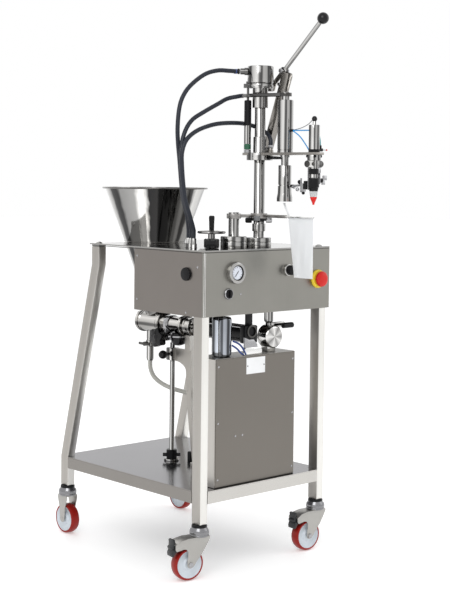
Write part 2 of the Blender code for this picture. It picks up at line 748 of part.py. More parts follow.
# ---- Hopper ----
hopper_base_height = HOPPER_RIM - (HOPPER_RADIUS - HOPPER_OUTLET) / HOPPER_SLOPE
spout_bottom = hopper_base_height - HOPPER_SPOUT
turned("hopper", [
    (HOPPER_RADIUS, HOPPER_RIM), (HOPPER_RADIUS + HOPPER_LIP, HOPPER_RIM),
    (HOPPER_RADIUS + HOPPER_LIP, HOPPER_RIM - HOPPER_WALL * 2.0),
    (HOPPER_RADIUS + HOPPER_WALL, HOPPER_RIM - HOPPER_WALL * 2.0),
    (HOPPER_OUTLET + HOPPER_WALL, hopper_base_height), (HOPPER_OUTLET + HOPPER_WALL, spout_bottom),
    (HOPPER_OUTLET, spout_bottom), (HOPPER_OUTLET, hopper_base_height),
], (DOSE_X, HOPPER_Y, 0.0), "Z", polished("hopper"), sides=28)

# ---- Dosing valve under the hopper ----
valve_front = HOPPER_Y - VALVE_LENGTH / 2.0
valve_back = HOPPER_Y + VALVE_LENGTH / 2.0
valve_body = rod("valve_body", (DOSE_X, valve_front, VALVE_AXIS), VALVE_LENGTH, VALVE_RADIUS, "Y",
                 brushed("valve_body"), sides=ROUND)
neck_top = spout_bottom - GAP
weld(valve_body,
     rod("valve_neck", (DOSE_X, HOPPER_Y, VALVE_AXIS), neck_top - VALVE_AXIS, HOPPER_OUTLET + HOPPER_WALL * 2.0,
         sides=SMALL),
     rod("drain_pipe", (DOSE_X, DRAIN_Y, DRAIN_BOTTOM), VALVE_AXIS - DRAIN_BOTTOM, DRAIN_RADIUS, sides=SMALL))
cut(valve_body,
    rod("valve_bore", (DOSE_X, valve_front - OVERRUN, VALVE_AXIS), VALVE_LENGTH + OVERRUN * 2.0, VALVE_BORE, "Y",
        sides=ROUND),
    rod("valve_inlet", (DOSE_X, HOPPER_Y, VALVE_AXIS), neck_top - VALVE_AXIS + OVERRUN, HOPPER_OUTLET, sides=SMALL),
    rod("drain_bore", (DOSE_X, DRAIN_Y, DRAIN_BOTTOM - OVERRUN), VALVE_AXIS - DRAIN_BOTTOM, DRAIN_RADIUS * 0.4,
        sides=TINY))
rotor_start = valve_front + GAP + VALVE_DISC_THICKNESS * 0.5
rotor = rod("valve_rotor", (DOSE_X, rotor_start, VALVE_AXIS), valve_back - rotor_start + VALVE_DISC_THICKNESS * 0.2,
            VALVE_BORE - RUNNING, "Y", brushed("valve_rotor"), sides=ROUND)
disc_start = valve_back + RUNNING
weld(rotor,
     rod("rotor_disc", (DOSE_X, disc_start, VALVE_AXIS), VALVE_DISC_THICKNESS, VALVE_DISC_RADIUS, "Y", sides=ROUND),
     rod("rotor_pin", (DOSE_X, disc_start + VALVE_DISC_THICKNESS * 0.5, VALVE_AXIS + VALVE_DISC_RADIUS * 0.6),
         ROTOR_HANDLE_LENGTH * 0.5, PIN_RADIUS * 2.0, "Y", sides=TINY))
cut(rotor,
    rod("rotor_port", (DOSE_X, rotor_start - OVERRUN, VALVE_AXIS), HOPPER_Y - rotor_start + OVERRUN,
        HOPPER_OUTLET * 0.7, "Y", sides=SMALL),
    rod("rotor_elbow", (DOSE_X, HOPPER_Y, VALVE_AXIS - HOPPER_OUTLET * 0.2), VALVE_BORE + OVERRUN,
        HOPPER_OUTLET * 0.7, sides=SMALL))

# Product cylinder in front of the valve, with its flange and coupling ring
cylinder_back = valve_front - GAP
cylinder_length = cylinder_back - CYLINDER_FRONT
product_cylinder = rod("product_cylinder", (DOSE_X, CYLINDER_FRONT, VALVE_AXIS), cylinder_length, CYLINDER_RADIUS,
                       "Y", brushed("product_cylinder"), sides=ROUND)
weld(product_cylinder,
     rod("rear_collar", (DOSE_X, cylinder_back - FLANGE_THICKNESS, VALVE_AXIS), FLANGE_THICKNESS, VALVE_RADIUS, "Y",
         sides=ROUND),
     rod("front_flange", (DOSE_X, CYLINDER_FRONT - FLANGE_THICKNESS, VALVE_AXIS), FLANGE_THICKNESS + WELD,
         FLANGE_RADIUS, "Y", sides=ROUND),
     rod("coupling_ring", (DOSE_X, CYLINDER_FRONT - FLANGE_THICKNESS - COUPLING_LENGTH, VALVE_AXIS),
         COUPLING_LENGTH + WELD, COUPLING_RADIUS, "Y", sides=ROUND))
cut(product_cylinder,
    rod("cylinder_bore", (DOSE_X, CYLINDER_FRONT - FLANGE_THICKNESS, VALVE_AXIS),
        cylinder_length + FLANGE_THICKNESS + OVERRUN, CYLINDER_BORE, "Y", sides=ROUND),
    rod("rod_bore", (DOSE_X, CYLINDER_FRONT - FLANGE_THICKNESS - COUPLING_LENGTH - OVERRUN, VALVE_AXIS),
        COUPLING_LENGTH + FLANGE_THICKNESS + OVERRUN, PISTON_ROD_RADIUS + RUNNING, "Y", sides=SMALL))

# Air drive cylinder in line with it, hung under the plate on two tie bars
drive_back_end = DRIVE_BACK
drive = rod("drive_cylinder", (DOSE_X, DRIVE_FRONT, VALVE_AXIS), drive_back_end - DRIVE_FRONT, DRIVE_BARREL_RADIUS,
            "Y", plastic("drive_cylinder"), sides=ROUND)
half_drive = DRIVE_WIDTH / 2.0
piston_front = DRIVE_FRONT + DRIVE_END_LENGTH * 0.5
weld(drive,
     box("drive_front_end", (DOSE_X - half_drive, DRIVE_FRONT - WELD, VALVE_AXIS - half_drive),
         (DOSE_X + half_drive, DRIVE_FRONT + DRIVE_END_LENGTH, VALVE_AXIS + half_drive), rounding=TUBE_ROUNDING),
     box("drive_back_end", (DOSE_X - half_drive, drive_back_end - DRIVE_END_LENGTH, VALVE_AXIS - half_drive),
         (DOSE_X + half_drive, drive_back_end + WELD, VALVE_AXIS + half_drive), rounding=TUBE_ROUNDING))
cut(drive,
    rod("drive_bore", (DOSE_X, piston_front - GAP, VALVE_AXIS), drive_back_end - piston_front - DRIVE_END_LENGTH * 0.5,
        DRIVE_BARREL_RADIUS * 0.8, "Y", sides=SMALL),
    rod("drive_rod_bore", (DOSE_X, piston_front, VALVE_AXIS), drive_back_end - piston_front + OVERRUN,
        PISTON_ROD_RADIUS + RUNNING, "Y", sides=SMALL))
hanger_bar = HOUSING_WALL * 3.0
drive_hanger_top = PLATE_BOTTOM - GAP
for place_y in (DRIVE_FRONT + DRIVE_END_LENGTH * 0.5, drive_back_end - DRIVE_END_LENGTH * 0.5):
    weld(drive, box("drive_hanger", (DOSE_X - half_drive * 0.5, place_y - hanger_bar / 2.0, VALVE_AXIS + half_drive - WELD),
                    (DOSE_X + half_drive * 0.5, place_y + hanger_bar / 2.0, drive_hanger_top)))

# Piston: product head at the back, rod, and drive head in the air cylinder
head_back = CYLINDER_FRONT + DOSE_STROKE + PISTON_HEAD_LENGTH
drive_head_front = piston_front + DOSE_STROKE + WELD
piston = rod("piston", (DOSE_X, drive_head_front, VALVE_AXIS), head_back - drive_head_front, PISTON_ROD_RADIUS, "Y",
             polished("piston"), sides=SMALL)
weld(piston,
     rod("product_head", (DOSE_X, head_back - PISTON_HEAD_LENGTH, VALVE_AXIS), PISTON_HEAD_LENGTH + WELD,
         CYLINDER_BORE - RUNNING, "Y", sides=ROUND),
     rod("drive_head", (DOSE_X, drive_head_front - WELD, VALVE_AXIS), PISTON_HEAD_LENGTH,
         DRIVE_BARREL_RADIUS * 0.8 - RUNNING, "Y", sides=SMALL))

# Star knob of the clamp ring below the coupling, on the camera side
star_face_x = DOSE_X - COUPLING_RADIUS * 0.5
clamp_x = star_face_x - STAR_THICKNESS * 1.2
star = cut_sheet("star_knob", moved(lobes(STAR_RADIUS, 0.22, 6, 36), CLAMP_Y, CLAMP_HEIGHT), STAR_THICKNESS, "YZ",
                 clamp_x - STAR_THICKNESS / 2.0, plastic("star_knob"), origin=(clamp_x, CLAMP_Y, CLAMP_HEIGHT))
weld(star, rod("star_boss", (clamp_x - WELD, CLAMP_Y, CLAMP_HEIGHT), STAR_THICKNESS * 0.3, STAR_RADIUS * 0.4, "X",
               sides=TINY))
boss_end = clamp_x - WELD + STAR_THICKNESS * 0.3 + GAP
weld(product_cylinder,
     box("clamp_lug", (boss_end, CLAMP_Y - STAR_RADIUS * 0.35, CLAMP_HEIGHT - STAR_RADIUS * 0.4),
         (DOSE_X + COUPLING_RADIUS * 0.3, CLAMP_Y + STAR_RADIUS * 0.35, VALVE_AXIS - CYLINDER_BORE - RUNNING)))

# Drain: wing handle on the pipe and a hose from the barb
wing_boss = DRAIN_RADIUS * 0.6
wing_x = DOSE_X - DRAIN_RADIUS - GAP
wing = rod("drain_wing", (wing_x - wing_boss * 2.0, DRAIN_Y, WING_HEIGHT), wing_boss * 2.0, wing_boss, "X",
           brushed("drain_wing"), sides=TINY)
weld(wing, box("wing_blade", (wing_x - wing_boss * 2.2, DRAIN_Y - WING_LENGTH / 2.0, WING_HEIGHT - wing_boss * 0.6),
               (wing_x - wing_boss * 1.2, DRAIN_Y + WING_LENGTH / 2.0, WING_HEIGHT + wing_boss * 0.6)))
wing.location = (wing_x - wing_boss * 2.0, DRAIN_Y, WING_HEIGHT)

drain_route = smooth_route([
    (DOSE_X, DRAIN_Y, DRAIN_BOTTOM - GAP),
    (0.240, 0.537, 0.572),
    (0.245, 0.536, 0.553),
    (0.252, 0.528, 0.533),
    (0.262, 0.505, 0.515),
    (0.270, 0.468, 0.503),
    (0.276, 0.425, 0.497),
    (0.282, 0.385, 0.494),
    (0.290, 0.350, 0.492),
    (0.297, 0.300, 0.490),
    (0.300, 0.230, 0.489),
    (DRAIN_PORT_X, 0.170, DRAIN_PORT_HEIGHT),
    (DRAIN_PORT_X, BOX_FRONT + BOX_DEPTH + DRAIN_PORT_LENGTH + GAP, DRAIN_PORT_HEIGHT),
], HOSE_RADIUS * 2.4)
tube("drain_hose", squared(drain_route, (0.0, 0.0, -1.0), (0.0, 1.0, 0.0)), HOSE_RADIUS, plastic("drain_hose", WHITE))

# ---- Guide rod with its foot and clamp, and the swan-neck bracket ----
guide = rod("guide_rod", (DOSE_X, GUIDE_Y, SHELF_SEAT), GUIDE_TOP - SHELF_SEAT, GUIDE_RADIUS, "Z",
            polished("guide_rod"))
clamp_bottom = BRACKET_TOP - BRACKET_CLAMP
guide_front = GUIDE_Y - GUIDE_COLLAR_RADIUS
weld(guide,
     rod("guide_foot", (DOSE_X, GUIDE_Y, SHELF_SEAT), GUIDE_FOOT_HEIGHT, GUIDE_FOOT_RADIUS, sides=ROUND),
     rod("guide_collar", (DOSE_X, GUIDE_Y, SHELF_SEAT + GUIDE_FOOT_HEIGHT - WELD), GUIDE_COLLAR_HEIGHT,
         GUIDE_COLLAR_RADIUS),
     box("guide_clamp", (DOSE_X - GUIDE_COLLAR_RADIUS, guide_front, clamp_bottom),
         (DOSE_X + GUIDE_COLLAR_RADIUS, GUIDE_Y + GUIDE_COLLAR_RADIUS, BRACKET_TOP), rounding=TUBE_ROUNDING))
bracket_back = guide_front - GAP
strip_back = BRACKET_FRONT + BRACKET_STRIP
arc_radius_y = bracket_back - strip_back
arc_radius_z = BRACKET_CLAMP * 0.7
bracket_arc = [(bracket_back - arc_radius_y * math.sin(math.radians(angle)),
                clamp_bottom - arc_radius_z * (1.0 - math.cos(math.radians(angle))))
               for angle in range(0, 91, 15)]
foot_front = BRACKET_FRONT - BRACKET_STRIP
bracket_outline = (
    [(BRACKET_FRONT, BRACKET_TOP), (bracket_back, BRACKET_TOP)] + bracket_arc
    + [(strip_back - BRACKET_STRIP * 0.3, (SHELF_TOP + BRACKET_TOP) / 2.0),
       (foot_front + BRACKET_STRIP * 0.5, SHELF_SEAT), (foot_front, SHELF_SEAT),
       (foot_front, SHELF_SEAT + BRACKET_STRIP), (BRACKET_FRONT - BRACKET_STRIP * 0.1, (SHELF_TOP + BRACKET_TOP) / 2.0)]
)
bracket = cut_sheet("support_bracket", bracket_outline, BRACKET_THICKNESS, "YZ", DOSE_X, brushed("support_bracket"))
weld(bracket, rod("bracket_foot", (DOSE_X, foot_front + BRACKET_STRIP * 0.25, SHELF_SEAT), BRACKET_STRIP * 0.4,
                  BRACKET_STRIP * 0.6, sides=SMALL),
     box("bracket_head", (DOSE_X - BRACKET_THICKNESS, BRACKET_FRONT + WELD, BRACKET_TOP - WELD),
         (DOSE_X + BRACKET_THICKNESS, CYLINDER_FRONT - FLANGE_THICKNESS - GAP,
          VALVE_AXIS - COUPLING_RADIUS - GAP)))
knob_x = DOSE_X - GUIDE_COLLAR_RADIUS - GAP
knob_z = (clamp_bottom + BRACKET_TOP) / 2.0
knob_ball = GUIDE_COLLAR_RADIUS * 0.9
clamp_knob = rod("clamp_knob", (knob_x - knob_ball * 1.4, GUIDE_Y, knob_z), knob_ball * 1.4, knob_ball * 0.35, "X",
                 plastic("clamp_knob"), sides=TINY)
weld(clamp_knob, ball("clamp_knob_ball", (knob_x - knob_ball * 1.8, GUIDE_Y, knob_z), knob_ball, sides=TINY))

# ---- Control box on the shelf, with its side cover and the air parts on top ----
box_right = BOX_LEFT + BOX_WIDTH
box_back = BOX_FRONT + BOX_DEPTH
control_box = box("control_box", (BOX_LEFT, BOX_FRONT, SHELF_SEAT), (box_right, box_back, BOX_TOP),
                  brushed("control_box"), rounding=TUBE_ROUNDING * 0.5)
weld(control_box, rod("drain_port", (DRAIN_PORT_X, box_back - WELD, DRAIN_PORT_HEIGHT), DRAIN_PORT_LENGTH + WELD,
                      HOSE_RADIUS * 1.3, "Y", sides=SMALL))
box("control_cover", (BOX_LEFT + TUBE_ROUNDING, BOX_FRONT - GAP - BOX_COVER, SHELF_SEAT + TUBE_ROUNDING),
    (box_right - TUBE_ROUNDING, BOX_FRONT - GAP, BOX_TOP - TUBE_ROUNDING), brushed("control_cover"))
reservoir_foot = BOX_TOP + GAP
turned("air_reservoir", stack((RESERVOIR_RADIUS * 0.80, RESERVOIR_TOP),
                              (RESERVOIR_RADIUS, RESERVOIR_TOP - RESERVOIR_RADIUS * 0.2),
                              (RESERVOIR_RADIUS, reservoir_foot + RESERVOIR_RADIUS * 0.1),
                              (RESERVOIR_RADIUS * 0.8, reservoir_foot)),
       (RESERVOIR_X, RESERVOIR_Y, 0.0), "Z", polished("air_reservoir"))
filter_length = BOX_DEPTH * 0.5
air_filter = rod("air_filter", (FILTER_X, BOX_FRONT + BOX_DEPTH * 0.15, FILTER_AXIS), filter_length, FILTER_RADIUS,
                 "Y", polished("air_filter"), sides=ROUND)
filter_y = BOX_FRONT + BOX_DEPTH * 0.45
weld(air_filter,
     box("filter_foot", (FILTER_X - FILTER_RADIUS * 0.5, filter_y - FILTER_RADIUS * 0.4, BOX_TOP + GAP),
         (FILTER_X + FILTER_RADIUS * 0.5, filter_y + FILTER_RADIUS * 0.4, FILTER_AXIS)),
     rod("filter_riser", (FILTER_X, filter_y, FILTER_AXIS), housing_top - FILTER_AXIS, HANDLE_RADIUS, sides=TINY),
     box("filter_arm", (FILTER_X, filter_y - HANDLE_RADIUS, HANDLE_AXIS - HANDLE_RADIUS),
         (HANDLE_X + HANDLE_RADIUS, filter_y + HANDLE_RADIUS, HANDLE_AXIS + HANDLE_RADIUS)))
handle_y = filter_y - HANDLE_RADIUS - GAP
air_handle = rod("air_handle", (HANDLE_X, handle_y - HANDLE_RADIUS * 2.0, HANDLE_AXIS), HANDLE_RADIUS * 2.0,
                 HANDLE_RADIUS * 0.6, "Y", plastic("air_handle"), sides=TINY)
weld(air_handle, rod("air_handle_bar", (HANDLE_X - HANDLE_LENGTH / 2.0, handle_y - HANDLE_RADIUS * 2.4, HANDLE_AXIS),
                     HANDLE_LENGTH, HANDLE_RADIUS, "X", sides=TINY))

# ---- Column on its flange ----
column_base = BENCH
turned("column", stack(
    (COLUMN_RADIUS, COLUMN_TOP), (COLUMN_RADIUS, COLUMN_COLLAR_TOP), (COLUMN_COLLAR_RADIUS, COLUMN_COLLAR_TOP),
    (COLUMN_COLLAR_RADIUS, COLUMN_COLLAR_BOTTOM), (COLUMN_RADIUS, COLUMN_COLLAR_BOTTOM),
    (COLUMN_RADIUS, column_base + COLUMN_FLANGE_HEIGHT), (COLUMN_FLANGE_RADIUS, column_base + COLUMN_FLANGE_HEIGHT),
    (COLUMN_FLANGE_RADIUS, column_base)), (COLUMN_X, COLUMN_Y, 0.0), "Z", polished("column"))

# Fixed head: sleeve round the column's top, flange, drum with its port, ears for strut and link
head_bore = COLUMN_RADIUS + GAP
column_head = turned("column_head", [
    (0.0, DRUM_TOP), (DRUM_RADIUS, DRUM_TOP), (DRUM_RADIUS, DRUM_BOTTOM), (HEAD_FLANGE_RADIUS, DRUM_BOTTOM),
    (HEAD_FLANGE_RADIUS, HEAD_FLANGE_BOTTOM), (SLEEVE_RADIUS, HEAD_FLANGE_BOTTOM), (SLEEVE_RADIUS, SLEEVE_BOTTOM),
    (head_bore, SLEEVE_BOTTOM), (head_bore, COLUMN_TOP + GAP), (0.0, COLUMN_TOP + GAP),
], (COLUMN_X, COLUMN_Y, 0.0), "Z", polished("column_head"))
ear_bottom = HEAD_FLANGE_BOTTOM + WELD
ear_top = DRUM_BOTTOM - GAP
ear_half = STRUT_RADIUS * 0.9
port_x = COLUMN_X - DRUM_RADIUS
strut_ear = cut_sheet("strut_ear", [
    (COLUMN_X, COLUMN_Y), (COLUMN_X, COLUMN_Y + ear_half), (STRUT_X + ear_half, STRUT_Y + ear_half),
    (STRUT_X - ear_half, STRUT_Y + ear_half), (STRUT_X - ear_half, STRUT_Y - ear_half)],
    ear_top - ear_bottom, "XY", (ear_top + ear_bottom) / 2.0)
strut_rod_bottom = STRUT_TOP - FILL_STROKE * 1.6
port_out = (-0.7366, 0.6763)
link_ear_thickness = LINK_THICKNESS
lever_plate = LINK_THICKNESS
link_ear_end = LEVER_X - lever_plate / 2.0 - LINK_THICKNESS * 0.5
link_ear_half = PIN_RADIUS * 2.6
link_x = LEVER_X + lever_plate / 2.0 + RUNNING
drum_side = math.sqrt(DRUM_RADIUS ** 2 - (LINK_PIN_Y + link_ear_half - COLUMN_Y) ** 2)
weld(column_head,
     strut_ear,
     rod("strut_rod", (STRUT_X, STRUT_Y, strut_rod_bottom), STRUT_ROD_TOP - strut_rod_bottom, STRUT_ROD_RADIUS,
         sides=TINY),
     rod("strut_nut", (STRUT_X, STRUT_Y, ear_top - WELD), STRUT_ROD_TOP - ear_top, STRUT_ROD_RADIUS * 1.8, sides=6),
     box("link_ear", (COLUMN_X + drum_side * 0.8, LINK_PIN_Y - link_ear_half, LINK_PIN_HEIGHT - link_ear_half),
         (link_ear_end, LINK_PIN_Y + link_ear_half, DRUM_TOP - link_ear_half)),
     rod("link_pivot", (link_ear_end - WELD, LINK_PIN_Y, LINK_PIN_HEIGHT), link_x + LINK_THICKNESS - link_ear_end,
         PIN_RADIUS, "X", sides=TINY),
     tube("drum_port", [(COLUMN_X + port_out[0] * DRUM_RADIUS * 0.8, COLUMN_Y + port_out[1] * DRUM_RADIUS * 0.8,
                         DRUM_PORT_HEIGHT),
                        (COLUMN_X + port_out[0] * (DRUM_RADIUS + PORT_LENGTH),
                         COLUMN_Y + port_out[1] * (DRUM_RADIUS + PORT_LENGTH), DRUM_PORT_HEIGHT)], PORT_RADIUS))

# ---- Balance strut tube that moves with the carriage ----
strut_bottom = CARRIAGE_TOP + GAP
strut_tube = rod("strut_tube", (STRUT_X, STRUT_Y, strut_bottom), STRUT_TOP - strut_bottom, STRUT_RADIUS, "Z",
                 plastic("strut_tube"), sides=SMALL)
cut(strut_tube, rod("strut_bore", (STRUT_X, STRUT_Y, strut_rod_bottom - FILL_STROKE - OVERRUN),
                    STRUT_TOP - strut_rod_bottom + FILL_STROKE + OVERRUN * 2.0, STRUT_ROD_RADIUS + RUNNING,
                    sides=TINY))

# ---- Carriage: bush, disc and arm in one piece, with the slanted lever post ----
carriage = turned("carriage", [
    (COLUMN_RADIUS + RUNNING, BUSH_TOP), (BUSH_RADIUS, BUSH_TOP), (BUSH_RADIUS, CARRIAGE_TOP - WELD),
    (DISC_RADIUS, CARRIAGE_TOP - WELD), (DISC_RADIUS, DISC_BOTTOM), (COLUMN_RADIUS + RUNNING, DISC_BOTTOM),
], (COLUMN_X, COLUMN_Y, 0.0), "Z", brushed("carriage"))
arm_half = ARM_WIDTH / 2.0
capper_half = CAPPER_RADIUS + RUNNING
arm_outline = [
    (STRUT_X - STRUT_RADIUS, STRUT_Y + STRUT_RADIUS), (STRUT_X - STRUT_RADIUS, STRUT_Y - STRUT_RADIUS),
    (COLUMN_X - arm_half, COLUMN_Y - DISC_RADIUS * 0.8), (COLUMN_X - arm_half, FILL_Y - FILL_RADIUS * 1.2),
    (COLUMN_X - capper_half - HOUSING_WALL * 2.0, CAPPER_Y + CAPPER_RADIUS * 2.0),
    (COLUMN_X - capper_half - HOUSING_WALL * 2.0, CAPPER_Y - CAPPER_RADIUS * 1.3),
    (COLUMN_X + capper_half + HOUSING_WALL * 2.0, CAPPER_Y - CAPPER_RADIUS * 1.3),
    (COLUMN_X + capper_half + HOUSING_WALL * 2.0, CAPPER_Y + CAPPER_RADIUS * 2.0),
    (COLUMN_X + arm_half, FILL_Y - FILL_RADIUS * 1.2), (LEVER_X + POST_DEPTH * 0.6, COLUMN_Y - DISC_RADIUS * 0.8),
    (LEVER_X + POST_DEPTH * 0.6, STRUT_Y + STRUT_RADIUS),
]
arm_bottom = CARRIAGE_TOP - ARM_THICKNESS
bore_outline = circle(COLUMN_X, COLUMN_Y, COLUMN_RADIUS + RUNNING * 3.0, ROUND)
fill_hole = circle(COLUMN_X, FILL_Y, NECK_RADIUS + GAP, SMALL)
capper_hole = circle(COLUMN_X, CAPPER_Y, SPINDLE_RADIUS + GAP, SMALL)
arm = cut_sheet("carriage_arm", arm_outline, ARM_THICKNESS, "XY", (CARRIAGE_TOP + arm_bottom) / 2.0,
                holes=[bore_outline, fill_hole, capper_hole])
post_run_y = POST_TOP_Y - POST_BASE_Y
post_rise = POST_TOP - CARRIAGE_TOP
post_length = math.hypot(post_run_y, post_rise)
along = (post_run_y / post_length, post_rise / post_length)
across = (-along[1], along[0])
half_post = POST_WIDTH / 2.0
cheek_start = post_length - POST_WIDTH * 1.8
slot_wall = LINK_THICKNESS


def post_point(run, side):
    return (POST_BASE_Y + along[0] * run + across[0] * side, CARRIAGE_TOP + along[1] * run + across[1] * side)


post_outline = [(POST_BASE_Y + half_post, CARRIAGE_TOP - WELD), post_point(post_length, -half_post),
                post_point(post_length + POST_WIDTH * 0.35, -half_post * 0.7),
                post_point(post_length + POST_WIDTH * 0.35, half_post * 0.7),
                post_point(post_length, half_post), (POST_BASE_Y - half_post, CARRIAGE_TOP - WELD)]
lever_post = cut_sheet("lever_post", post_outline, POST_DEPTH, "YZ", LEVER_X)
weld(carriage, arm, lever_post)
fork_inner = LEVER_X - POST_DEPTH / 2.0 + slot_wall
fork_outer = LEVER_X + POST_DEPTH / 2.0 - slot_wall
slot = cut_sheet("lever_slot", [post_point(cheek_start, -POST_WIDTH), post_point(post_length + POST_WIDTH, -POST_WIDTH),
                                post_point(post_length + POST_WIDTH, POST_WIDTH), post_point(cheek_start, POST_WIDTH)],
                 fork_outer - fork_inner, "YZ", LEVER_X)
cut(carriage, slot,
    rod("lever_pin_bore", (LEVER_X - POST_DEPTH, HUB_Y, HUB_HEIGHT), POST_DEPTH * 2.0, PIN_RADIUS + RUNNING, "X",
        sides=TINY))
elbow_x = LEVER_X - POST_DEPTH / 2.0 - HOSE_BORE_RADIUS - GAP * 30.0
elbow_y = COLUMN_Y - BUSH_RADIUS * 1.2
elbow_height = GLAND_HEIGHT * 0.5
weld(carriage, rod("elbow_stub", (elbow_x, elbow_y, CARRIAGE_TOP - WELD), elbow_height + WELD, HOSE_BORE_RADIUS,
                   sides=TINY))

# Lock handle under the arm, beside the bush
lock_y = COLUMN_Y - DISC_RADIUS - GAP
lock_z = (DISC_BOTTOM + arm_bottom) / 2.0
lock = rod("lock_handle", (COLUMN_X, lock_y - LOCK_RADIUS * 4.0, lock_z), LOCK_RADIUS * 4.0, LOCK_RADIUS, "Y",
           plastic("lock_handle"), sides=TINY)
weld(lock, rod("lock_bar", (COLUMN_X - LOCK_RADIUS, lock_y - LOCK_RADIUS * 3.0, lock_z), LOCK_LENGTH, LOCK_RADIUS,
               "X", sides=TINY))

# ---- Filling cylinder through the arm, with an open bell at its foot and its feed pipe ----
fill_seat = CARRIAGE_TOP + GAP
bell_wall = NOZZLE_FOOT_RADIUS * 0.12
fill_cylinder = turned("fill_cylinder", stack(
    (NECK_RADIUS, FILL_CAP_TOP), (NECK_RADIUS, FILL_TOP), (FILL_RADIUS * 0.9, FILL_TOP),
    (FILL_RADIUS, FILL_TOP - FILL_RADIUS * 0.1), (FILL_RADIUS, fill_seat), (NECK_RADIUS, fill_seat),
    (NECK_RADIUS, NOZZLE_TOP), (NOZZLE_RADIUS, NOZZLE_TOP), (NOZZLE_RADIUS, NOZZLE_SPLIT),
    (NOZZLE_RADIUS * 0.9, NOZZLE_SPLIT), (NOZZLE_RADIUS * 0.9, NOZZLE_SPLIT - NOZZLE_RADIUS * 0.2),
    (NOZZLE_RADIUS * 1.04, NOZZLE_SPLIT - NOZZLE_RADIUS * 0.2), (NOZZLE_FOOT_RADIUS, NOZZLE_BOTTOM),
    (NOZZLE_FOOT_RADIUS - bell_wall, NOZZLE_BOTTOM), (NOZZLE_RADIUS * 0.85, NOZZLE_SPLIT - NOZZLE_RADIUS * 0.4),
    (GAP * 2.0, NOZZLE_SPLIT - NOZZLE_RADIUS * 0.4))[:-1] + [(0.0, NOZZLE_SPLIT - NOZZLE_RADIUS * 0.4)],
    (COLUMN_X, FILL_Y, 0.0), "Z", polished("fill_cylinder"))
feed_start_x = STRUT_X - STRUT_ROD_RADIUS - FEED_RADIUS * 2.2
feed_route = smooth_route([
    (feed_start_x, STRUT_Y + FEED_RADIUS, FEED_HEIGHT),
    (feed_start_x + FEED_RADIUS * 0.5, STRUT_Y - FEED_RADIUS * 3.0, FEED_HEIGHT),
    (feed_start_x + FEED_RADIUS * 1.6, COLUMN_Y - SLEEVE_RADIUS * 0.8, FEED_HEIGHT),
    (COLUMN_X - FEED_RADIUS * 4.0, (COLUMN_Y + FILL_Y) / 2.0 - FEED_RADIUS * 2.0, FEED_HEIGHT),
    (COLUMN_X - FEED_RADIUS * 1.2, FILL_Y + FEED_RADIUS * 2.4, FEED_HEIGHT),
    (COLUMN_X, FILL_Y + FEED_RADIUS * 0.4, FEED_HEIGHT),
], FEED_RADIUS * 4.0)
weld(fill_cylinder, tube("feed_pipe", feed_route, FEED_RADIUS))

# ---- Capping cylinder with its clamp bar, and the spinning chuck below ----
capper_seat = CARRIAGE_TOP + GAP
capper = turned("capper_cylinder", stack(
    (CAPPER_RADIUS * 0.3, CAPPER_TOP + CAPPER_BALL * 1.5), (CAPPER_RADIUS * 0.3, CAPPER_TOP),
    (CAPPER_RADIUS, CAPPER_TOP), (CAPPER_RADIUS, capper_seat), (SPINDLE_RADIUS, capper_seat),
    (SPINDLE_RADIUS, arm_bottom - GAP), (CAPPER_RADIUS * 1.25, arm_bottom - GAP),
    (CAPPER_RADIUS * 1.25, CLAMP_BAR_TOP), (SPINDLE_RADIUS, CLAMP_BAR_TOP), (SPINDLE_RADIUS, SPINDLE_BOTTOM)),
    (COLUMN_X, CAPPER_Y, 0.0), "Z", brushed("capper_cylinder"), sides=SMALL)
half_bar = CLAMP_BAR_LENGTH / 2.0
bar_along = (0.7366, -0.6763)
weld(capper,
     ball("capper_ball", (COLUMN_X, CAPPER_Y, CAPPER_TOP + CAPPER_BALL * 2.2), CAPPER_BALL),
     box("clamp_bar", (COLUMN_X - half_bar, CAPPER_Y - SPINDLE_RADIUS * 0.8, CLAMP_BAR_BOTTOM),
         (COLUMN_X + half_bar, CAPPER_Y + SPINDLE_RADIUS * 0.8, CLAMP_BAR_TOP - GAP), rounding=TUBE_ROUNDING))
chuck_top = SPINDLE_BOTTOM - GAP
chuck_height = chuck_top - CHUCK_BOTTOM
turned("cap_chuck", stack(
    (CHUCK_RADIUS, chuck_top), (CHUCK_RADIUS, CHUCK_BOTTOM + chuck_height * 0.3),
    (CHUCK_RADIUS * 0.7, CHUCK_BOTTOM), (TIP_RADIUS * 0.7, CHUCK_BOTTOM),
    (TIP_RADIUS * 0.7, TIP_BOTTOM + TIP_RADIUS * 2.2), (TIP_RADIUS, TIP_BOTTOM + TIP_RADIUS * 2.0),
    (TIP_RADIUS, TIP_BOTTOM + TIP_RADIUS * 1.7), (TIP_RADIUS * 0.3, TIP_BOTTOM)),
    (COLUMN_X, CAPPER_Y, 0.0), "Z", plastic("cap_chuck", RED), sides=SMALL)

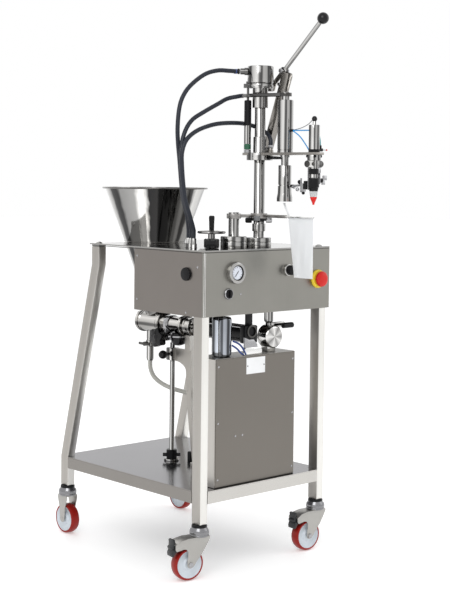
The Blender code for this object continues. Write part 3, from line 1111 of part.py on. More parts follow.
# ---- Lever: hub between the post's cheeks, handle with a ball, short end with an eye ----
hub_length = fork_outer - fork_inner - RUNNING * 2.0
pin_reach = POST_DEPTH / 2.0 + LINK_THICKNESS * 0.5
lever = rod("lever", (LEVER_X - hub_length / 2.0, HUB_Y, HUB_HEIGHT), hub_length, HUB_RADIUS, "X",
            polished("lever"), sides=SMALL, origin=(LEVER_X, HUB_Y, HUB_HEIGHT))
handle_end = (LEVER_X, BALL_Y, BALL_HEIGHT)
short_angle = math.atan2(SHORT_END_HEIGHT - HUB_HEIGHT, SHORT_END_Y - HUB_Y)
eye_radius = PIN_RADIUS * 2.9
side_y = -math.sin(short_angle) * eye_radius
side_z = math.cos(short_angle) * eye_radius
short_arm = cut_sheet("short_arm", [
    (HUB_Y + side_y, HUB_HEIGHT + side_z), (HUB_Y - side_y, HUB_HEIGHT - side_z),
    (SHORT_END_Y - side_y, SHORT_END_HEIGHT - side_z),
    (SHORT_END_Y + math.cos(short_angle) * eye_radius, SHORT_END_HEIGHT + math.sin(short_angle) * eye_radius),
    (SHORT_END_Y + side_y, SHORT_END_HEIGHT + side_z)], lever_plate, "YZ", LEVER_X)
weld(lever,
     rod("lever_pin", (LEVER_X - pin_reach, HUB_Y, HUB_HEIGHT), pin_reach * 2.0, PIN_RADIUS, "X", sides=TINY),
     tube("lever_handle", [(LEVER_X, HUB_Y, HUB_HEIGHT), handle_end], LEVER_RADIUS),
     ball("lever_ball", handle_end, BALL_RADIUS, sides=SMALL),
     short_arm)
cut(lever, rod("short_eye", (LEVER_X - lever_plate, SHORT_END_Y, SHORT_END_HEIGHT), lever_plate * 2.0,
               PIN_RADIUS * 2.0, "X", sides=SMALL))

# Link on the fixed head's pin, whose own pin rides in the lever's eye
link_dy = SHORT_END_Y - LINK_PIN_Y
link_dz = SHORT_END_HEIGHT - LINK_PIN_HEIGHT
link_span = math.hypot(link_dy, link_dz)
half_link = LINK_WIDTH / 2.0
link_across = (-link_dz / link_span * half_link, link_dy / link_span * half_link)
link_along = (link_dy / link_span * half_link, link_dz / link_span * half_link)


def link_corner(y, z, side, end):
    return (y + link_across[0] * side + link_along[0] * end, z + link_across[1] * side + link_along[1] * end)


link_outline = [
    link_corner(LINK_PIN_Y, LINK_PIN_HEIGHT, -1.0, 0.0), link_corner(LINK_PIN_Y, LINK_PIN_HEIGHT, -0.6, -0.8),
    link_corner(LINK_PIN_Y, LINK_PIN_HEIGHT, 0.6, -0.8), link_corner(LINK_PIN_Y, LINK_PIN_HEIGHT, 1.0, 0.0),
    link_corner(SHORT_END_Y, SHORT_END_HEIGHT, 1.0, 0.0), link_corner(SHORT_END_Y, SHORT_END_HEIGHT, 0.6, 0.8),
    link_corner(SHORT_END_Y, SHORT_END_HEIGHT, -0.6, 0.8), link_corner(SHORT_END_Y, SHORT_END_HEIGHT, -1.0, 0.0),
]
link = cut_sheet("link", link_outline, LINK_THICKNESS, "YZ", link_x + LINK_THICKNESS / 2.0, brushed("link"),
                 origin=(link_x, LINK_PIN_Y, LINK_PIN_HEIGHT))
cut(link, rod("link_eye", (link_x - OVERRUN, LINK_PIN_Y, LINK_PIN_HEIGHT), LINK_THICKNESS + OVERRUN * 2.0,
              PIN_RADIUS + GAP, "X", sides=TINY))
weld(link, rod("link_pin", (LEVER_X - lever_plate / 2.0, SHORT_END_Y, SHORT_END_HEIGHT),
               lever_plate + RUNNING + WELD, PIN_RADIUS * 0.75, "X", sides=TINY))

# ---- Limit post, pouch holder on the column, and the pouch ----
turned("limit_post", stack(
    (POST_RADIUS * 0.9, POST_HEIGHT), (POST_RADIUS, POST_HEIGHT - POST_RADIUS * 0.1),
    (POST_RADIUS, BENCH + POST_FLANGE_HEIGHT), (POST_FLANGE_RADIUS, BENCH + POST_FLANGE_HEIGHT),
    (POST_FLANGE_RADIUS, BENCH)), (POST_X, POST_Y, 0.0), "Z", polished("limit_post"))
holder_low = HOLDER_HEIGHT - HOLDER_CLAMP_HEIGHT / 2.0
holder_top = HOLDER_HEIGHT + HOLDER_CLAMP_HEIGHT / 2.0
half_holder = HOLDER_BAR / 2.0
rail_x = COLUMN_X
pouch_holder = turned("pouch_holder", [
    (COLUMN_RADIUS + RUNNING, holder_top), (HOLDER_CLAMP_RADIUS, holder_top), (HOLDER_CLAMP_RADIUS, holder_low),
    (COLUMN_RADIUS + RUNNING, holder_low)], (COLUMN_X, COLUMN_Y, 0.0), "Z", brushed("pouch_holder"))
post_eye = rod("post_eye", (POST_X, POST_Y, holder_low + GAP), HOLDER_CLAMP_HEIGHT - GAP * 2.0,
               POST_RADIUS + HOLDER_BAR * 0.6, sides=ROUND)
eye_bar = box("eye_bar", (POST_X + POST_RADIUS + HOLDER_BAR * 0.3, POST_Y - half_holder, HOLDER_HEIGHT - half_holder),
              (COLUMN_X - COLUMN_RADIUS - HOLDER_BAR * 0.5, POST_Y + half_holder, HOLDER_HEIGHT + half_holder))
rail_bar = HOLDER_BAR * 0.22
rail_gap = POUCH_THICKNESS / 2.0 + GAP
arm_start_y = COLUMN_Y - COLUMN_RADIUS - HOLDER_BAR * 0.5
weld(pouch_holder, post_eye, eye_bar,
     box("holder_arm", (rail_x - half_holder, RAIL_START_Y, HOLDER_HEIGHT - half_holder),
         (rail_x + half_holder, arm_start_y, HOLDER_HEIGHT + half_holder)))
for side in (-1.0, 1.0):
    near = rail_x + side * rail_gap
    far = rail_x + side * (rail_gap + rail_bar)
    weld(pouch_holder, box("pouch_rail", (min(near, far), RAIL_END_Y, HOLDER_HEIGHT - rail_bar),
                           (max(near, far), RAIL_START_Y + WELD, HOLDER_HEIGHT + rail_bar)))
weld(pouch_holder, rod("holder_knob", (COLUMN_X - HOLDER_CLAMP_RADIUS * 0.9, COLUMN_Y - HOLDER_CLAMP_RADIUS * 0.6,
                                       HOLDER_HEIGHT - HOLDER_BAR * 1.6), HOLDER_BAR * 1.6, HOLDER_BAR, sides=TINY))
cut(pouch_holder, rod("post_eye_bore", (POST_X, POST_Y, holder_low - OVERRUN),
                      HOLDER_CLAMP_HEIGHT + OVERRUN * 2.0, POST_RADIUS + RUNNING, sides=ROUND))
pouch_top = HOLDER_HEIGHT + rail_bar
pouch_front = RAIL_START_Y - RUNNING
pouch_outline = [
    (pouch_front - POUCH_THICKNESS, pouch_top), (POUCH_BACK, pouch_top), (POUCH_BACK, POUCH_BOTTOM),
    (POUCH_BOTTOM_FRONT, POUCH_BOTTOM), (POUCH_TOP_FRONT + POUCH_THICKNESS * 0.2, pouch_top - POUCH_THICKNESS * 3.0),
]
cut_sheet("pouch", pouch_outline, POUCH_THICKNESS, "YZ", COLUMN_X, plastic("pouch", WHITE, 0.3))

# ---- Dose handwheel with its spindle, hub and grip, and the lock nut on the plate ----
spindle_foot = BENCH + GAP
handwheel = turned("handwheel", stack(
    (WHEEL_HUB_RADIUS, WHEEL_HEIGHT + WHEEL_RIM), (WHEEL_HUB_RADIUS, BENCH + LOCK_NUT_HEIGHT + GAP * 2.0),
    (SPINDLE_SHAFT, BENCH + LOCK_NUT_HEIGHT + GAP * 2.0), (SPINDLE_SHAFT, spindle_foot)),
    (WHEEL_X, WHEEL_Y, 0.0), "Z", polished("handwheel"), sides=SMALL)
bm_rim = turned("wheel_rim", [
    (WHEEL_RADIUS + WHEEL_RIM * math.cos(math.radians(-60.0 * k)), WHEEL_RIM * math.sin(math.radians(-60.0 * k)))
    for k in range(6)], (WHEEL_X, WHEEL_Y, WHEEL_HEIGHT), "Z", sides=ROUND)
spokes = []
for k in range(3):
    angle = math.radians(30.0 + 120.0 * k)
    spokes.append(tube("wheel_spoke_" + str(k), [
        (WHEEL_X, WHEEL_Y, WHEEL_HEIGHT),
        (WHEEL_X + WHEEL_RADIUS * math.cos(angle), WHEEL_Y + WHEEL_RADIUS * math.sin(angle), WHEEL_HEIGHT)],
        WHEEL_RIM * 0.8))
grip_y = WHEEL_Y
grip_x = WHEEL_X + WHEEL_HUB_RADIUS * 0.2
weld(handwheel, bm_rim, *spokes)
weld(handwheel, rod("wheel_grip", (WHEEL_X, WHEEL_Y, WHEEL_HEIGHT + WHEEL_RIM - WELD), GRIP_LENGTH, GRIP_RADIUS * 0.8,
                    sides=TINY, far_radius=GRIP_RADIUS))
lock_nut = cut_sheet("lock_nut", moved(lobes(LOCK_NUT_RADIUS, 0.2, 5, 30), WHEEL_X, WHEEL_Y), LOCK_NUT_HEIGHT, "XY",
                     BENCH + LOCK_NUT_HEIGHT / 2.0, plastic("lock_nut"), origin=(WHEEL_X, WHEEL_Y, BENCH))
cut(lock_nut, rod("lock_nut_bore", (WHEEL_X, WHEEL_Y, BENCH - OVERRUN), LOCK_NUT_HEIGHT + OVERRUN * 2.0,
                  SPINDLE_SHAFT + RUNNING, sides=SMALL))

# ---- Hoses from the glands to the head and the carriage ----
hose_foot = PLATE_TOP + GLAND_HEIGHT + GAP
hose_spacing = HOSE_BORE_RADIUS * 4.0
UP = (0.0, 0.0, 1.0)
drum_route = smooth_route([
    (gland_places[2][0], gland_places[2][1], hose_foot),
    (0.0993, 0.180, 1.055), (0.088, 0.175, 1.100), (0.068, 0.171, 1.150), (0.059, 0.170, 1.197),
    (0.050, 0.170, 1.275), (0.043, 0.170, 1.330), (0.041, 0.170, 1.380), (0.048, 0.170, 1.440),
    (0.066, 0.170, 1.480), (0.099, 0.170, 1.514), (0.153, 0.169, 1.548), (0.200, 0.161, 1.562),
    (0.238, 0.1495, 1.5625),
    (COLUMN_X + port_out[0] * (DRUM_RADIUS + PORT_LENGTH + GAP),
     COLUMN_Y + port_out[1] * (DRUM_RADIUS + PORT_LENGTH + GAP), DRUM_PORT_HEIGHT),
], hose_spacing)
tube("drum_hose", squared(drum_route, UP, (port_out[0], port_out[1], 0.0)), HOSE_BORE_RADIUS,
     plastic("drum_hose", NAVY))
feed_hose_route = smooth_route([
    (gland_places[1][0], gland_places[1][1], hose_foot),
    (0.0950, 0.163, 1.055), (0.080, 0.157, 1.100), (0.058, 0.155, 1.150), (0.050, 0.155, 1.197),
    (0.044, 0.155, 1.260), (0.043, 0.154, 1.310), (0.056, 0.154, 1.360), (0.085, 0.154, 1.399),
    (0.133, 0.154, 1.426), (0.195, 0.155, 1.455), (0.240, 0.155, 1.475),
    (feed_start_x, STRUT_Y + FEED_RADIUS + GAP * 4.0, FEED_HEIGHT),
], hose_spacing)
tube("feed_hose", squared(feed_hose_route, UP, (0.0, 1.0, 0.0)), HOSE_BORE_RADIUS, plastic("feed_hose", NAVY))
air_hose_route = smooth_route([
    (gland_places[0][0], gland_places[0][1], hose_foot),
    (0.0908, 0.146, 1.055), (0.071, 0.142, 1.100), (0.049, 0.139, 1.150), (0.040, 0.139, 1.197),
    (0.033, 0.1385, 1.260), (0.034, 0.139, 1.300), (0.052, 0.139, 1.338), (0.095, 0.139, 1.367),
    (0.158, 0.139, 1.387), (0.218, 0.141, 1.395), (0.285, 0.1435, 1.397), (0.322, 0.142, 1.393),
    (0.342, 0.129, 1.386), (0.349, 0.106, 1.374), (0.349, 0.082, 1.362), (elbow_x, elbow_y, 1.342),
    (elbow_x, elbow_y, CARRIAGE_TOP + elbow_height + GAP),
], hose_spacing)
tube("air_hose", squared(air_hose_route, UP, UP), HOSE_BORE_RADIUS, plastic("air_hose", NAVY))


# ---- Casters ----
pedal_run = CASTER_TRAIL + WHEEL_CENTRE * 0.30 + PIN_RADIUS * 2.0
pedal_height = WHEEL_CENTRE + WHEEL_CENTRE * 1.10
fork_inside = TREAD_WIDTH / 2.0 + CASTER_FORK_GAP


def wheel(name, x, y, turn):
    half = TREAD_WIDTH / 2.0
    bore = HUB_BORE_RADIUS
    obj = turned(name, [
        (bore, half * 0.9), (WHEEL_CENTRE * 0.36, half * 0.9), (WHEEL_CENTRE * 0.42, half * 0.5),
        (WHEEL_CENTRE * 0.74, half * 0.5), (WHEEL_CENTRE * 0.78, half), (WHEEL_CENTRE * 0.94, half),
        (WHEEL_CENTRE, half * 0.6), (WHEEL_CENTRE, -half * 0.6), (WHEEL_CENTRE * 0.94, -half),
        (WHEEL_CENTRE * 0.78, -half), (WHEEL_CENTRE * 0.74, -half * 0.5), (WHEEL_CENTRE * 0.42, -half * 0.5),
        (WHEEL_CENTRE * 0.36, -half * 0.9), (bore, -half * 0.9),
    ], (x, y, WHEEL_CENTRE), "X", plastic(name, RED, 0.45))
    obj.rotation_euler = (0.0, math.radians(90.0), turn)
    return obj


def fork(name, x, y, direction, trail, race):
    """Fork with two cheeks and an axle; it is drawn along +X and turned to its direction."""
    inner = TREAD_WIDTH / 2.0 + CASTER_FORK_GAP
    outer = inner + FORK_THICKNESS
    head = FORK_ARM / 2.0
    top = race if race < LEG_FOOT_HEIGHT - GAP * 2.0 else LEG_FOOT_HEIGHT - GAP
    reach = WHEEL_CENTRE * 0.30
    nose = [(trail + reach, WHEEL_CENTRE + reach * 1.3)]
    if trail > 0.0:
        lug = PIN_RADIUS * 2.0
        nose = [(pedal_run - lug, pedal_height + lug), (pedal_run + lug, pedal_height + lug * 0.5),
                (pedal_run + lug, pedal_height - lug), (trail + reach, WHEEL_CENTRE + reach * 1.3)]
    side = [
        (-head * 0.75, top), (head * 0.9, top), *nose,
        (trail + reach, WHEEL_CENTRE - reach * 0.4), (trail + reach * 0.4, WHEEL_CENTRE - reach),
        (trail - reach * 0.4, WHEEL_CENTRE - reach), (trail - reach, WHEEL_CENTRE - reach * 0.3),
        (min(trail - reach, -head * 0.75), WHEEL_CENTRE + WHEEL_CENTRE * 0.95),
    ]
    blank = cut_sheet(name, side, outer * 2.0, "XZ", 0.0, brushed(name), origin=(0.0, 0.0, 0.0))
    window_top = top - FORK_THICKNESS
    cut(blank,
        box(name + "_window", (-WHEEL_DIAMETER, -inner, -OVERRUN), (WHEEL_DIAMETER * 2.0, inner, window_top)))
    weld(blank, rod(name + "_axle", (trail, -outer - FORK_THICKNESS, WHEEL_CENTRE),
                    (outer + FORK_THICKNESS) * 2.0, AXLE_RADIUS, "Y", sides=SMALL))
    return blank


def set_turn(obj, x, y, direction):
    angle = math.atan2(direction[1], direction[0])
    for part in [obj] + [modifier.object for modifier in obj.modifiers]:
        part.location = (Matrix.Rotation(angle, 4, "Z") @ Vector(part.location)) + Vector((x, y, 0.0))
        part.rotation_euler = (part.rotation_euler[0], part.rotation_euler[1], part.rotation_euler[2] + angle)


race_half = RACE_RADIUS
front_places = [
    ("left_caster_fork", "front_left_wheel", "left_brake_pedal", LEG_WIDTH / 2.0, LEG_DEPTH / 2.0,
     LEFT_TRAIL_DIRECTION),
    ("right_caster_fork", "front_right_wheel", "right_brake_pedal", RIGHT_LEG_X + LEG_WIDTH / 2.0, LEG_DEPTH / 2.0,
     RIGHT_TRAIL_DIRECTION),
]
for fork_name, wheel_name, pedal_name, x, y, direction in front_places:
    caster = fork(fork_name, x, y, direction, CASTER_TRAIL, FORK_CROWN_HEIGHT)
    weld(caster,
         rod(fork_name + "_race", (0.0, 0.0, FORK_CROWN_HEIGHT - WELD), RACE_TOP - FORK_CROWN_HEIGHT + WELD,
             RACE_RADIUS, sides=ROUND, far_radius=SEAL_RADIUS),
         rod(fork_name + "_seal", (0.0, 0.0, RACE_TOP - WELD), LEG_FOOT_HEIGHT - RACE_TOP + WELD - GAP,
             SEAL_RADIUS * 0.6, sides=SMALL))
    set_turn(caster, x, y, direction)
    angle = math.atan2(direction[1], direction[0])
    wheel_x = x + math.cos(angle) * CASTER_TRAIL
    wheel_y = y + math.sin(angle) * CASTER_TRAIL
    wheel(wheel_name, wheel_x, wheel_y, angle + math.radians(90.0))
    half_pedal = PEDAL_WIDTH / 2.0
    pedal = box(pedal_name, (0.0, -half_pedal, -PEDAL_THICKNESS / 2.0),
                (PEDAL_LENGTH * 0.9, half_pedal, PEDAL_THICKNESS / 2.0),
                plastic(pedal_name, (0.12, 0.12, 0.13)), rounding=TUBE_ROUNDING, origin=(0.0, 0.0, 0.0))
    weld(pedal, rod(pedal_name + "_pin", (PIN_RADIUS * 1.2, -fork_inside + GAP, 0.0), (fork_inside - GAP) * 2.0,
                    PIN_RADIUS, "Y", sides=TINY))
    place_turn = Matrix.Translation((x, y, 0.0)) @ Matrix.Rotation(angle, 4, "Z")
    for piece in (pedal, pedal.modifiers[0].object):
        piece.location = place_turn @ (Vector(piece.location) + Vector((pedal_run, 0.0, pedal_height)))
        piece.rotation_euler = (0.0, 0.0, angle)

rear_places = [("rear_left_caster_fork", "rear_left_wheel", LEG_WIDTH / 2.0),
               ("rear_right_caster_fork", "rear_right_wheel", RIGHT_LEG_X + LEG_WIDTH / 2.0)]
for fork_name, wheel_name, x in rear_places:
    y = BACK_LEG_Y + LEG_DEPTH / 2.0
    caster = fork(fork_name, x, y, (0.0, 1.0), 0.0, LEG_FOOT_HEIGHT - GAP)
    set_turn(caster, x, y, (0.0, 1.0))
    wheel(wheel_name, x, y, 0.0)
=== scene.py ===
# %% [markdown]
# # A piston doser on a wheeled cart
# A piston doser fills pouches and jars in a small kitchen or dairy. Product stands in the steel
# cone, a valve under the cone lets it into a cylinder, and a piston pushes one dose up a hose to
# the filling head. The hard parts were built as solids first. This lesson loads them as a fixed
# frame and gives the machine its looks: round pieces, small fittings, finishes, floor and light.

# %% The frame
import math

import bmesh
import bpy
from mathutils import Matrix, Vector


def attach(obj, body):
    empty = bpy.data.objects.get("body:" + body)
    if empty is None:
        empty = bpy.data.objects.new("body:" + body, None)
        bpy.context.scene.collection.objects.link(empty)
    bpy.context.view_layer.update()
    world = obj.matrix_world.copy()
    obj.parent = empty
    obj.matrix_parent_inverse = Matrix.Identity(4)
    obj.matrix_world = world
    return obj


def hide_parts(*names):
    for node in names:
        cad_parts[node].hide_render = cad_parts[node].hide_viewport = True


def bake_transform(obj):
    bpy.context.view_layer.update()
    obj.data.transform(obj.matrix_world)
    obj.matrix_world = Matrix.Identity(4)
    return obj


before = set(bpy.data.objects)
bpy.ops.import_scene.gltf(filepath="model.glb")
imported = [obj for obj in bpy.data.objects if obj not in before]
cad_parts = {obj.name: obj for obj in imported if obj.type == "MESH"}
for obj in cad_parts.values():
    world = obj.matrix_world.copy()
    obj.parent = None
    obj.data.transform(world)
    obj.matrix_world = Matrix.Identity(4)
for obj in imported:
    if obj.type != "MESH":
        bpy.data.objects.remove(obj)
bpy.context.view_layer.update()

# %% [markdown]
# ## One corner to measure from
# A maker measures from a corner of the frame: X to the right along the front, Y to the back and
# Z up from the floor. The model's own origin is under its middle, so one small helper shifts
# every place that is given below. Long drawings are typed as plain rows of millimetres, and
# `mm` turns such a row into metres, Blender's own unit.

# %% Places
CORNER = Vector((-0.2338188, -0.2894498, 0.0))
UP, RIGHT, BACK = Vector((0, 0, 1)), Vector((1, 0, 0)), Vector((0, 1, 0))


def at(x, y, z):
    """A place measured from the cart's front left corner on the floor."""
    return Vector((x, y, z)) + CORNER


def rows(text, parts):
    """Rows of numbers, with commas between the rows. Each number is divided by parts."""
    return [tuple(float(number) / parts for number in row.split()) for row in text.split(",")]


def mm(text):
    """Rows of millimetres, read as metres."""
    return rows(text, 1000)


def places(text):
    """Places in millimetres from the same corner."""
    return [at(*row) for row in mm(text)]


print("the corner lies at", [round(c, 3) for c in at(0, 0, 0)])


# %% [markdown]
# ## The camera
# The photograph was taken from the front left, a little above the top plate, with a long lens.
# The lens, the place and the small shift come from fitting the machine's own edges, so the
# render and the photograph can be laid on each other.

# %% Camera
YAW, PITCH, ROLL = (math.radians(a) for a in (47.4404, -2.0847, 0.6261))
STAND = (-2.6301, -2.962, 1.2154)
LENS, SHIFT = 79.13, -0.1209
bpy.ops.object.select_all(action="DESELECT")
bpy.ops.object.camera_add(location=at(*STAND))
camera = bpy.context.object
ahead = Vector((math.cos(PITCH) * math.cos(YAW), math.cos(PITCH) * math.sin(YAW), math.sin(PITCH)))
level = Vector((math.sin(YAW), -math.cos(YAW), 0.0))
above = level.cross(ahead)
across = level * math.cos(ROLL) + above * math.sin(ROLL)
above = above * math.cos(ROLL) - level * math.sin(ROLL)
camera.rotation_mode = "QUATERNION"
camera.rotation_quaternion = Matrix((across, above, -ahead)).transposed().to_quaternion()
camera.data.sensor_fit = "VERTICAL"
camera.data.sensor_height = 36.0
camera.data.lens = LENS
camera.data.shift_y = SHIFT
bpy.context.scene.camera = camera
print("camera looks along", [round(c, 3) for c in ahead])

# %% [markdown]
# ## Shader maths as plain sums
# A finish is made of numbers that change over a surface. Blender's Math nodes add and multiply
# them, and this small class writes those nodes for us, so that a recipe reads like a sum.

# %% Signals
class Signal:
    """A number or colour on its way through a finish. Sums and products add Math nodes."""

    def __init__(self, finish, socket):
        self.finish, self.socket = finish, socket

    def _do(self, how, other, swapped=False):
        pair = (other, self) if swapped else (self, other)
        return self.finish.node("ShaderNodeMath", {"operation": how}, *pair)

    def __add__(self, other): return self._do("ADD", other)
    def __radd__(self, other): return self._do("ADD", other, True)
    def __sub__(self, other): return self._do("SUBTRACT", other)
    def __rsub__(self, other): return self._do("SUBTRACT", other, True)
    def __mul__(self, other): return self._do("MULTIPLY", other)
    def __rmul__(self, other): return self._do("MULTIPLY", other, True)


class Finish:
    """A material, with helpers that add nodes and feed its shader."""

    def __init__(self, name, colour, roughness, metallic=0.0, **fixed):
        self.material = bpy.data.materials.new(name)
        self.material.use_nodes = True
        self.tree = self.material.node_tree
        self.shader = self.tree.nodes["Principled BSDF"]
        self.feed(self.shader.inputs["Base Color"], (*colour, 1.0))
        self.feed(self.shader.inputs["Roughness"], roughness)
        self.feed(self.shader.inputs["Metallic"], metallic)
        for socket, value in fixed.items():
            self.feed(self.shader.inputs[socket.replace("_", " ")], value)
        self.material.diffuse_color = (*colour, 1.0)

    def feed(self, socket, value):
        if isinstance(value, Signal):
            self.tree.links.new(value.socket, socket)
        else:
            socket.default_value = value

    def node(self, kind, settings=None, *values, out=0, **named):
        made = self.tree.nodes.new(kind)
        for key, value in (settings or {}).items():
            if key == "stops":
                while len(made.color_ramp.elements) < len(value):
                    made.color_ramp.elements.new(1.0)
                for element, (place, shade) in zip(made.color_ramp.elements, value):
                    element.position, element.color = place, (shade, shade, shade, 1)
            else:
                setattr(made, key, value)
        for socket, value in zip(made.inputs, values):
            self.feed(socket, value)
        for key, value in named.items():
            self.feed(made.inputs[key.replace("_", " ")], value)
        return Signal(self, made.outputs[out])

    def place(self, scale=(1, 1, 1), turn=(0, 0, 0)):
        where = self.node("ShaderNodeTexCoord", out=3)
        return self.node("ShaderNodeMapping", {}, Vector=where, Rotation=turn, Scale=scale)

    def noise(self, scale, detail=3.0, stretch=(1, 1, 1), turn=(0, 0, 0)):
        return self.node("ShaderNodeTexNoise", {}, Vector=self.place(stretch, turn), Scale=scale,
                Detail=detail)

    def blend(self, share, first, second):
        made = self.tree.nodes.new("ShaderNodeMix")
        made.data_type = "RGBA"
        for number, value in ((0, share), (6, first), (7, second)):
            self.feed(made.inputs[number], (*value, 1.0) if isinstance(value, tuple) else value)
        return Signal(self, made.outputs[2])

    def bump(self, height, strength=0.2, distance=0.0005):
        pushed = self.node("ShaderNodeBump", {}, Strength=strength, Distance=distance, Height=height)
        self.feed(self.shader.inputs["Normal"], pushed)


# %% [markdown]
# ## The finishes
# Almost everything is stainless steel. Ground tube and sheet show fine lines along the belt's
# run, polished parts mirror the room with a few wipe marks, and the rest is black plastic,
# navy hose, red polyurethane and pale nylon.

# %% Steel


def ground_steel(name, along, colour=(0.60, 0.585, 0.56), roughness=0.34):
    """Steel ground in one direction: 'x', 'y' or 'z' is the way the lines run."""
    stretch = {"x": (4, 700, 700), "y": (700, 4, 700), "z": (700, 700, 4)}[along]
    steel = Finish(name, colour, roughness, 1.0)
    lines = steel.noise(1.0, 2.0, stretch)
    cloud = steel.noise(9.0, 3.0)
    steel.feed(steel.shader.inputs["Roughness"], lines * 0.16 + (cloud * 0.10 + (roughness - 0.13)))
    pale = tuple(min(1.0, c * 1.10) for c in colour)
    dull = tuple(c * 0.88 for c in colour)
    steel.feed(steel.shader.inputs["Base Color"], steel.blend(cloud * 0.6 + lines * 0.4, dull, pale))
    steel.bump(lines, 0.06, 0.0002)
    return steel.material


def mirror_steel(name, colour=(0.74, 0.735, 0.72), roughness=0.09):
    """Polished steel with faint wipe marks."""
    steel = Finish(name, colour, roughness, 1.0)
    cloud = steel.noise(14.0, 4.0)
    wipes = steel.noise(3.0, 2.0, (1, 1, 30))
    steel.feed(steel.shader.inputs["Roughness"], cloud * 0.08 + (wipes * 0.05 + (roughness - 0.06)))
    steel.feed(steel.shader.inputs["Base Color"],
        steel.blend(cloud, tuple((c * 0.94 for c in colour)), tuple((min(1.0, c * 1.05) for c in colour))))
    return steel.material


# %% [markdown]
# ## Polished rounds with painted reflections
# A polished round shows a bright room and dark doorways as long streaks; here these reflections
# are painted into the steel's colour. Each row below gives a place round the piece, in hundredths
# of a turn, and how bright the painted reflection is there, in hundredths. Half a turn is the side
# that faces the cart's front left corner, where the camera stands.

# %% Painted reflections
# Painted reflections: the tones of the light and dark bands round each kind of piece.
TUBE_PAINTED_REFLECTIONS = rows("0 10, 6 75, 14 85, 18 8, 25 16, 36.5 4, 39 52, 44 86, 46.2 80, 48.3 12, 51.2 8, "
    "53 48, 57.2 42, 59.7 4, 63.6 7, 66.5 50, 75 26, 80 5, 86 70, 93 80, 100 10", 100)
CONE_PAINTED_REFLECTIONS = rows("0 8, 5 55, 13 70, 17 6, 21 30, 26.2 18, 28.5 62, 32.5 42, 33.8 3, 37 4, 38.4 30, "
    "43.7 38, 45.2 98, 47.2 90, 48.8 2, 56 4, 57.8 16, 61.5 24, 62.8 3, 64.5 5, 66.4 72, 70 60, 72.8 10, "
    "74.5 30, 79 10, 86 50, 93 6, 100 8", 100)
BARREL_PAINTED_REFLECTIONS = rows("0 5, 12 30, 25 5, 31 10, 36 34, 42 40, 44.5 10, 47.5 12, 50 62, 56 98, 60 60, "
    "62.5 20, 67 34, 72 10, 77 5, 85 55, 93 70, 100 5", 100)
LEVER_PAINTED_REFLECTIONS = rows("0 20, 20 5, 33 5, 37 38, 46 66, 52 36, 60 30, 65 6, 74 3, 85 40, 100 20", 100)


FRONT_LEFT = Vector((-0.675883, -0.736111, 0.036377))
WAVER = 0.018


def painted_reflection_steel(name, centre, along=(0, 0, 1), stops=TUBE_PAINTED_REFLECTIONS, bright=(0.90, 0.89, 0.87), dark=(0.012,
        0.012, 0.013), roughness=0.12):
    """Polished steel that is round about a line, with the room's reflections painted into its colour as
    streaks along the line.
    """
    steel = Finish(name, tuple(c * 0.6 for c in bright), roughness, 1.0)
    along = Vector(along).normalized()
    facing = FRONT_LEFT - along * FRONT_LEFT.dot(along)
    facing.normalize()
    side = along.cross(facing)
    offset = steel.node("ShaderNodeVectorMath", {"operation": "SUBTRACT"}, steel.place(), tuple(centre))
    front = steel.node("ShaderNodeVectorMath", {"operation": "DOT_PRODUCT"}, offset, tuple(facing), out=1)
    right = steel.node("ShaderNodeVectorMath", {"operation": "DOT_PRODUCT"}, offset, tuple(side), out=1)
    turn = steel.node("ShaderNodeMath", {"operation": "ARCTAN2"}, right, front)
    waver = steel.noise(1.0, 2.0, tuple(70 - 62 * abs(c) for c in along))
    share = turn * (1 / math.tau) + (waver * WAVER + (0.5 - WAVER / 2))
    # The ramp paints the reflection's light and dark bands into the base colour.
    shade = steel.node("ShaderNodeValToRGB", {"stops": stops}, share)
    steel.feed(steel.shader.inputs["Base Color"], steel.blend(shade, dark, bright))
    cloud = steel.noise(14.0, 4.0)
    steel.feed(steel.shader.inputs["Roughness"], cloud * 0.08 + (roughness - 0.04))
    return steel.material


# %% [markdown]
# ## Ground sheet and the list of steels
# A flat ground face takes its tone from the part of the room it looks at, so one more recipe
# paints a shade for the sides, the front and the top into the colour: painted light and shade. Then every
# steel of the machine gets a name.

# %% Steels
def painted_face_shade_steel(name, sides, front, top, along, roughness=0.36):
    """Ground steel with painted light and shade: one painted tone for each way a face looks."""
    steel = Finish(name, front, roughness, 1.0)
    normal = steel.tree.nodes.new("ShaderNodeNewGeometry").outputs["Normal"]
    parts = steel.tree.nodes.new("ShaderNodeSeparateXYZ")
    steel.tree.links.new(normal, parts.inputs[0])
    x, y, z = (Signal(steel, socket) for socket in parts.outputs)
    lines = steel.noise(1.0, 2.0, {"x": (4, 700, 700), "y": (700, 4, 700), "z": (700, 700, 4)}[along])
    cloud = steel.noise(5.0, 2.0)
    # Painted light and shade: the sides, the front and the top each get their own tone by the face's
    # normal.
    upright = steel.blend(y * y, sides, front)
    shade = steel.blend(z * z, upright, top)
    marks = steel.blend(lines * 0.4 + cloud * 0.5, (0.84, 0.84, 0.83), (1.0, 1.0, 1.0))
    toned = steel.tree.nodes.new("ShaderNodeVectorMath")
    toned.operation = "MULTIPLY"
    steel.feed(toned.inputs[0], shade)
    steel.feed(toned.inputs[1], marks)
    steel.feed(steel.shader.inputs["Base Color"], Signal(steel, toned.outputs[0]))
    steel.feed(steel.shader.inputs["Roughness"], lines * 0.14 + (cloud * 0.10 + (roughness - 0.12)))
    steel.bump(lines, 0.06, 0.0002)
    return steel.material
